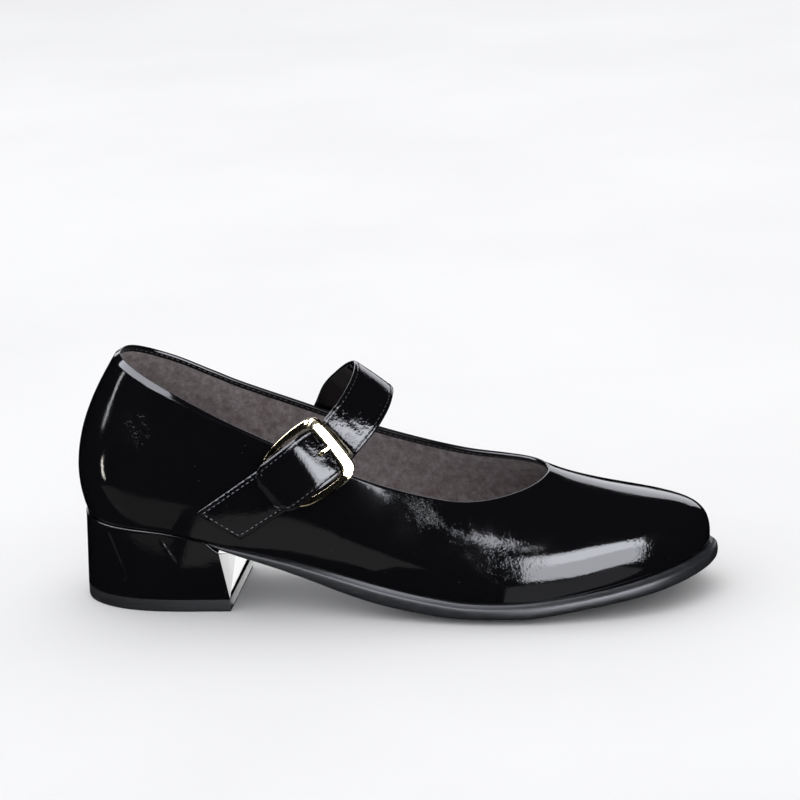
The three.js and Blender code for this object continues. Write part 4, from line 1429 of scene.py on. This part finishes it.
class SHOE_OT_sole(bpy.types.Operator):
    """Build the moulded sole"""

    bl_idname = "shoe.sole"
    bl_label = "Sole"
    bl_options = {"REGISTER", "UNDO"}

    def execute(self, context):
        dress(outsole_shape(), "sole", ["outsole"])
        return {"FINISHED"}


class SHOE_OT_heel(bpy.types.Operator):
    """Build the covered heel and its rubber tip"""

    bl_idname = "shoe.heel"
    bl_label = "Heel"
    bl_options = {"REGISTER", "UNDO"}

    def execute(self, context):
        dress(heel_shape(), "cover", ["heel_block"])
        dress(tip_shape(), "tip", ["heel_top_piece"])
        return {"FINISHED"}


class SHOE_OT_strap(bpy.types.Operator):
    """Build the instep strap with its stitching"""

    bl_idname = "shoe.strap"
    bl_label = "Strap"
    bl_options = {"REGISTER", "UNDO"}

    def execute(self, context):
        strap = Strap()
        dress(strap_shape(strap), "strap", ["strap"])
        dress(strap_stitches(strap), "black_thread")
        return {"FINISHED"}


class SHOE_OT_buckle(bpy.types.Operator):
    """Build the tab with its stitching, the buckle and its prong"""

    bl_idname = "shoe.buckle"
    bl_label = "Buckle and tab"
    bl_options = {"REGISTER", "UNDO"}

    def execute(self, context):
        dress(tab_shape(), "patent", ["buckle_tab"])
        dress(tab_stitches(), "thread")
        dress(buckle_shape(), "gold", ["buckle_frame"])
        dress(prong_shape(), "gold", ["buckle_prong"])
        return {"FINISHED"}


# The lights that the leather and the gold mirror: where each hangs as seen from the shoe (degrees from
# the toe's direction, degrees above the floor, metres), its size, its brightness and its tint.
SOFTBOXES = (
    ("key_front_right", -61, 5, 1.0, (1.0, 0.86), 10.5, (0.9, 0.93, 1.0)),
    ("key_upper", -57, 17, 0.99, (0.82, 0.28), 5, (0.92, 0.95, 1.0)),
    ("strip_heel", -171, 13, 1.1, (0.09, 0.2), 7, (0.95, 0.97, 1.0)),
    ("spot_heel", -161, -5, 1.1, (0.07, 0.13), 16, (1.0, 0.97, 0.9)),
    ("glint_quarter", -128, 25, 1.2, (0.3, 0.12), 10, (0.92, 0.94, 1.0)),
    ("glint_throat", -84, 40, 1.2, (0.07, 0.12), 6, (0.92, 0.95, 1.0)),
    ("glint_ball", -99, 40, 1.2, (0.05, 0.08), 2.2, (0.92, 0.95, 1.0)),
    ("high_left", -150, 48, 1.2, (1.9, 0.8), 9, (0.9, 0.91, 1.0)),
    ("backdrop", 95, 15, 1.6, (2.0, 0.62), 2.2, (0.93, 0.94, 1.0)),
)
# The floor as the leather mirrors it: the middle of each patch (metres in the frame), its size, its
# brightness and its tint.
FLOOR_GLOW = (
    ("floor_left", (-0.2, -0.115), (0.2, 0.1), 0.2, (1.0, 0.95, 0.9)),
    ("floor_waist", (-0.055, -0.1), (0.07, 0.09), 0.35, (1.0, 0.97, 0.94)),
    ("floor_toe", (0.085, -0.062), (0.08, 0.034), 0.5, (0.95, 0.97, 1.0)),
    ("floor_heel_front", (-0.035, 0.12), (0.12, 0.28), 3.0, (1.0, 1.0, 1.0)),
)
# One more lights only what is matte.
OVERHEAD = ("overhead", 100, 78, 1.6, (1.6, 1.4), 0.9)
LIT_PLACE = (0.03, -0.02, 0.05)
# In the drawing's axes: what the camera is as far from as the panel says, and what it looks at.
SHOE_MIDDLE = (127.0, 0.0, 45.0)
AIM = (128.0, 10.5, 75.5)
WHITE = (1.0, 1.0, 1.0, 1.0)
FLOOR_SIZE = 8.0
SURROUND = 0.85


def softbox(name, azimuth, elevation, distance, size, radiance, tint=WHITE[:3]):
    """A softbox hung facing the shoe."""
    a, e = math.radians(azimuth), math.radians(elevation)
    away = Vector((math.cos(a) * math.cos(e), math.sin(a) * math.cos(e), math.sin(e)))
    return lamp_at(name, Vector(LIT_PLACE) + away * distance, -away, size, radiance, tint)


def lamp_at(name, place, facing, size, radiance, tint):
    """A rectangular light, unseen by the camera and by matte surfaces."""
    bpy.ops.object.select_all(action="DESELECT")
    bpy.ops.object.light_add(type="AREA", location=place)
    lamp = bpy.context.object
    lamp.name = name
    lamp.data.shape = "RECTANGLE"
    lamp.data.size, lamp.data.size_y = size
    lamp.data.energy = radiance * math.pi * size[0] * size[1]
    lamp.data.color = tint
    lamp.rotation_euler = Vector(facing).to_track_quat("-Z", "Y").to_euler()
    lamp.visible_camera = False
    lamp.visible_diffuse = False
    return lamp


def soft_surround():
    """An even white surround that lights matte surfaces and isn't mirrored."""
    world = bpy.data.worlds.new("studio")
    world.use_nodes = True
    background = world.node_tree.nodes["Background"]
    background.inputs["Color"].default_value = WHITE
    background.inputs["Strength"].default_value = SURROUND
    world.cycles_visibility.glossy = False
    bpy.context.scene.world = world


def place_camera(stage):
    """A camera turned about its line of sight, with the shoe's middle in the lower half of the view."""
    a, e, r = stage.azimuth, stage.elevation, stage.roll
    back = np.array([math.sin(a) * math.cos(e), -math.cos(a) * math.cos(e), math.sin(e)])
    eye = to_frame(SHOE_MIDDLE) + back * stage.distance
    away = unit(eye - to_frame(AIM))
    level = unit(np.cross([0, 0, 1.0], away))
    above = np.cross(away, level)
    right = level * math.cos(r) - above * math.sin(r)
    up = level * math.sin(r) + above * math.cos(r)
    bpy.ops.object.select_all(action="DESELECT")
    bpy.ops.object.camera_add()
    camera = bpy.context.object
    camera.name = "camera"
    camera.data.lens = stage.lens
    camera.data.sensor_width = 36
    camera.data.sensor_fit = "HORIZONTAL"
    turn = Matrix((right, up, away)).transposed()
    camera.matrix_world = Matrix.Translation(Vector(eye)) @ turn.to_4x4()
    bpy.context.scene.camera = camera


class SHOE_OT_stage(bpy.types.Operator):
    """Set the floor, the lights and the camera"""

    bl_idname = "shoe.stage"
    bl_label = "Floor, lights and camera"
    bl_options = {"REGISTER", "UNDO"}

    def execute(self, context):
        bpy.ops.object.select_all(action="DESELECT")
        bpy.ops.mesh.primitive_plane_add(size=FLOOR_SIZE, location=(0, 0, 0))
        floor = context.object
        floor.name = floor.data.name = "floor"
        floor.data.materials.append(material("floor"))
        floor.visible_glossy = False
        for box in SOFTBOXES:
            softbox(*box)
        for name, (x, y), size, radiance, tint in FLOOR_GLOW:
            lamp_at(name, (x, y, 0.001), (0, 0, 1), size, radiance, tint)
        overhead = softbox(*OVERHEAD)
        overhead.visible_glossy = False
        overhead.visible_diffuse = True
        soft_surround()
        context.scene.view_settings.view_transform = "Standard"
        place_camera(context.scene.shoe_stage)
        return {"FINISHED"}


class SHOE_PT_panel(bpy.types.Panel):
    """The shoe's pieces in the order they are made, its colours and its sizes"""

    bl_idname = "SHOE_PT_panel"
    bl_label = "Mary Jane shoe"
    bl_space_type = "VIEW_3D"
    bl_region_type = "UI"
    bl_category = "Shoe"

    def draw(self, context):
        column = self.layout.column(align=True)
        for operator in OPERATORS:
            column.operator(operator.bl_idname)
        for group in GROUPS:
            settings = getattr(context.scene, group)
            for name in settings.bl_rna.properties.keys():
                if name not in ("rna_type", "name"):
                    column.prop(settings, name)


GROUPS = {"shoe_colours": ShoeColours, "shoe_sizes": ShoeSizes, "shoe_stage": ShoeStage}
OPERATORS = (
    SHOE_OT_upper,
    SHOE_OT_lining,
    SHOE_OT_sole,
    SHOE_OT_heel,
    SHOE_OT_strap,
    SHOE_OT_buckle,
    SHOE_OT_stage,
)
CLASSES = (*GROUPS.values(), *OPERATORS, SHOE_PT_panel)


def register():
    for cls in CLASSES:
        bpy.utils.register_class(cls)
    for name, group in GROUPS.items():
        setattr(bpy.types.Scene, name, bpy.props.PointerProperty(type=group))


def unregister():
    for name in GROUPS:
        delattr(bpy.types.Scene, name)
    for cls in reversed(CLASSES):
        bpy.utils.unregister_class(cls)


def main():
    register()
    bpy.ops.shoe.upper()
    bpy.ops.shoe.lining()
    bpy.ops.shoe.sole()
    bpy.ops.shoe.heel()
    bpy.ops.shoe.strap()
    bpy.ops.shoe.buckle()
    bpy.ops.shoe.stage()


if __name__ == "__main__":
    main()
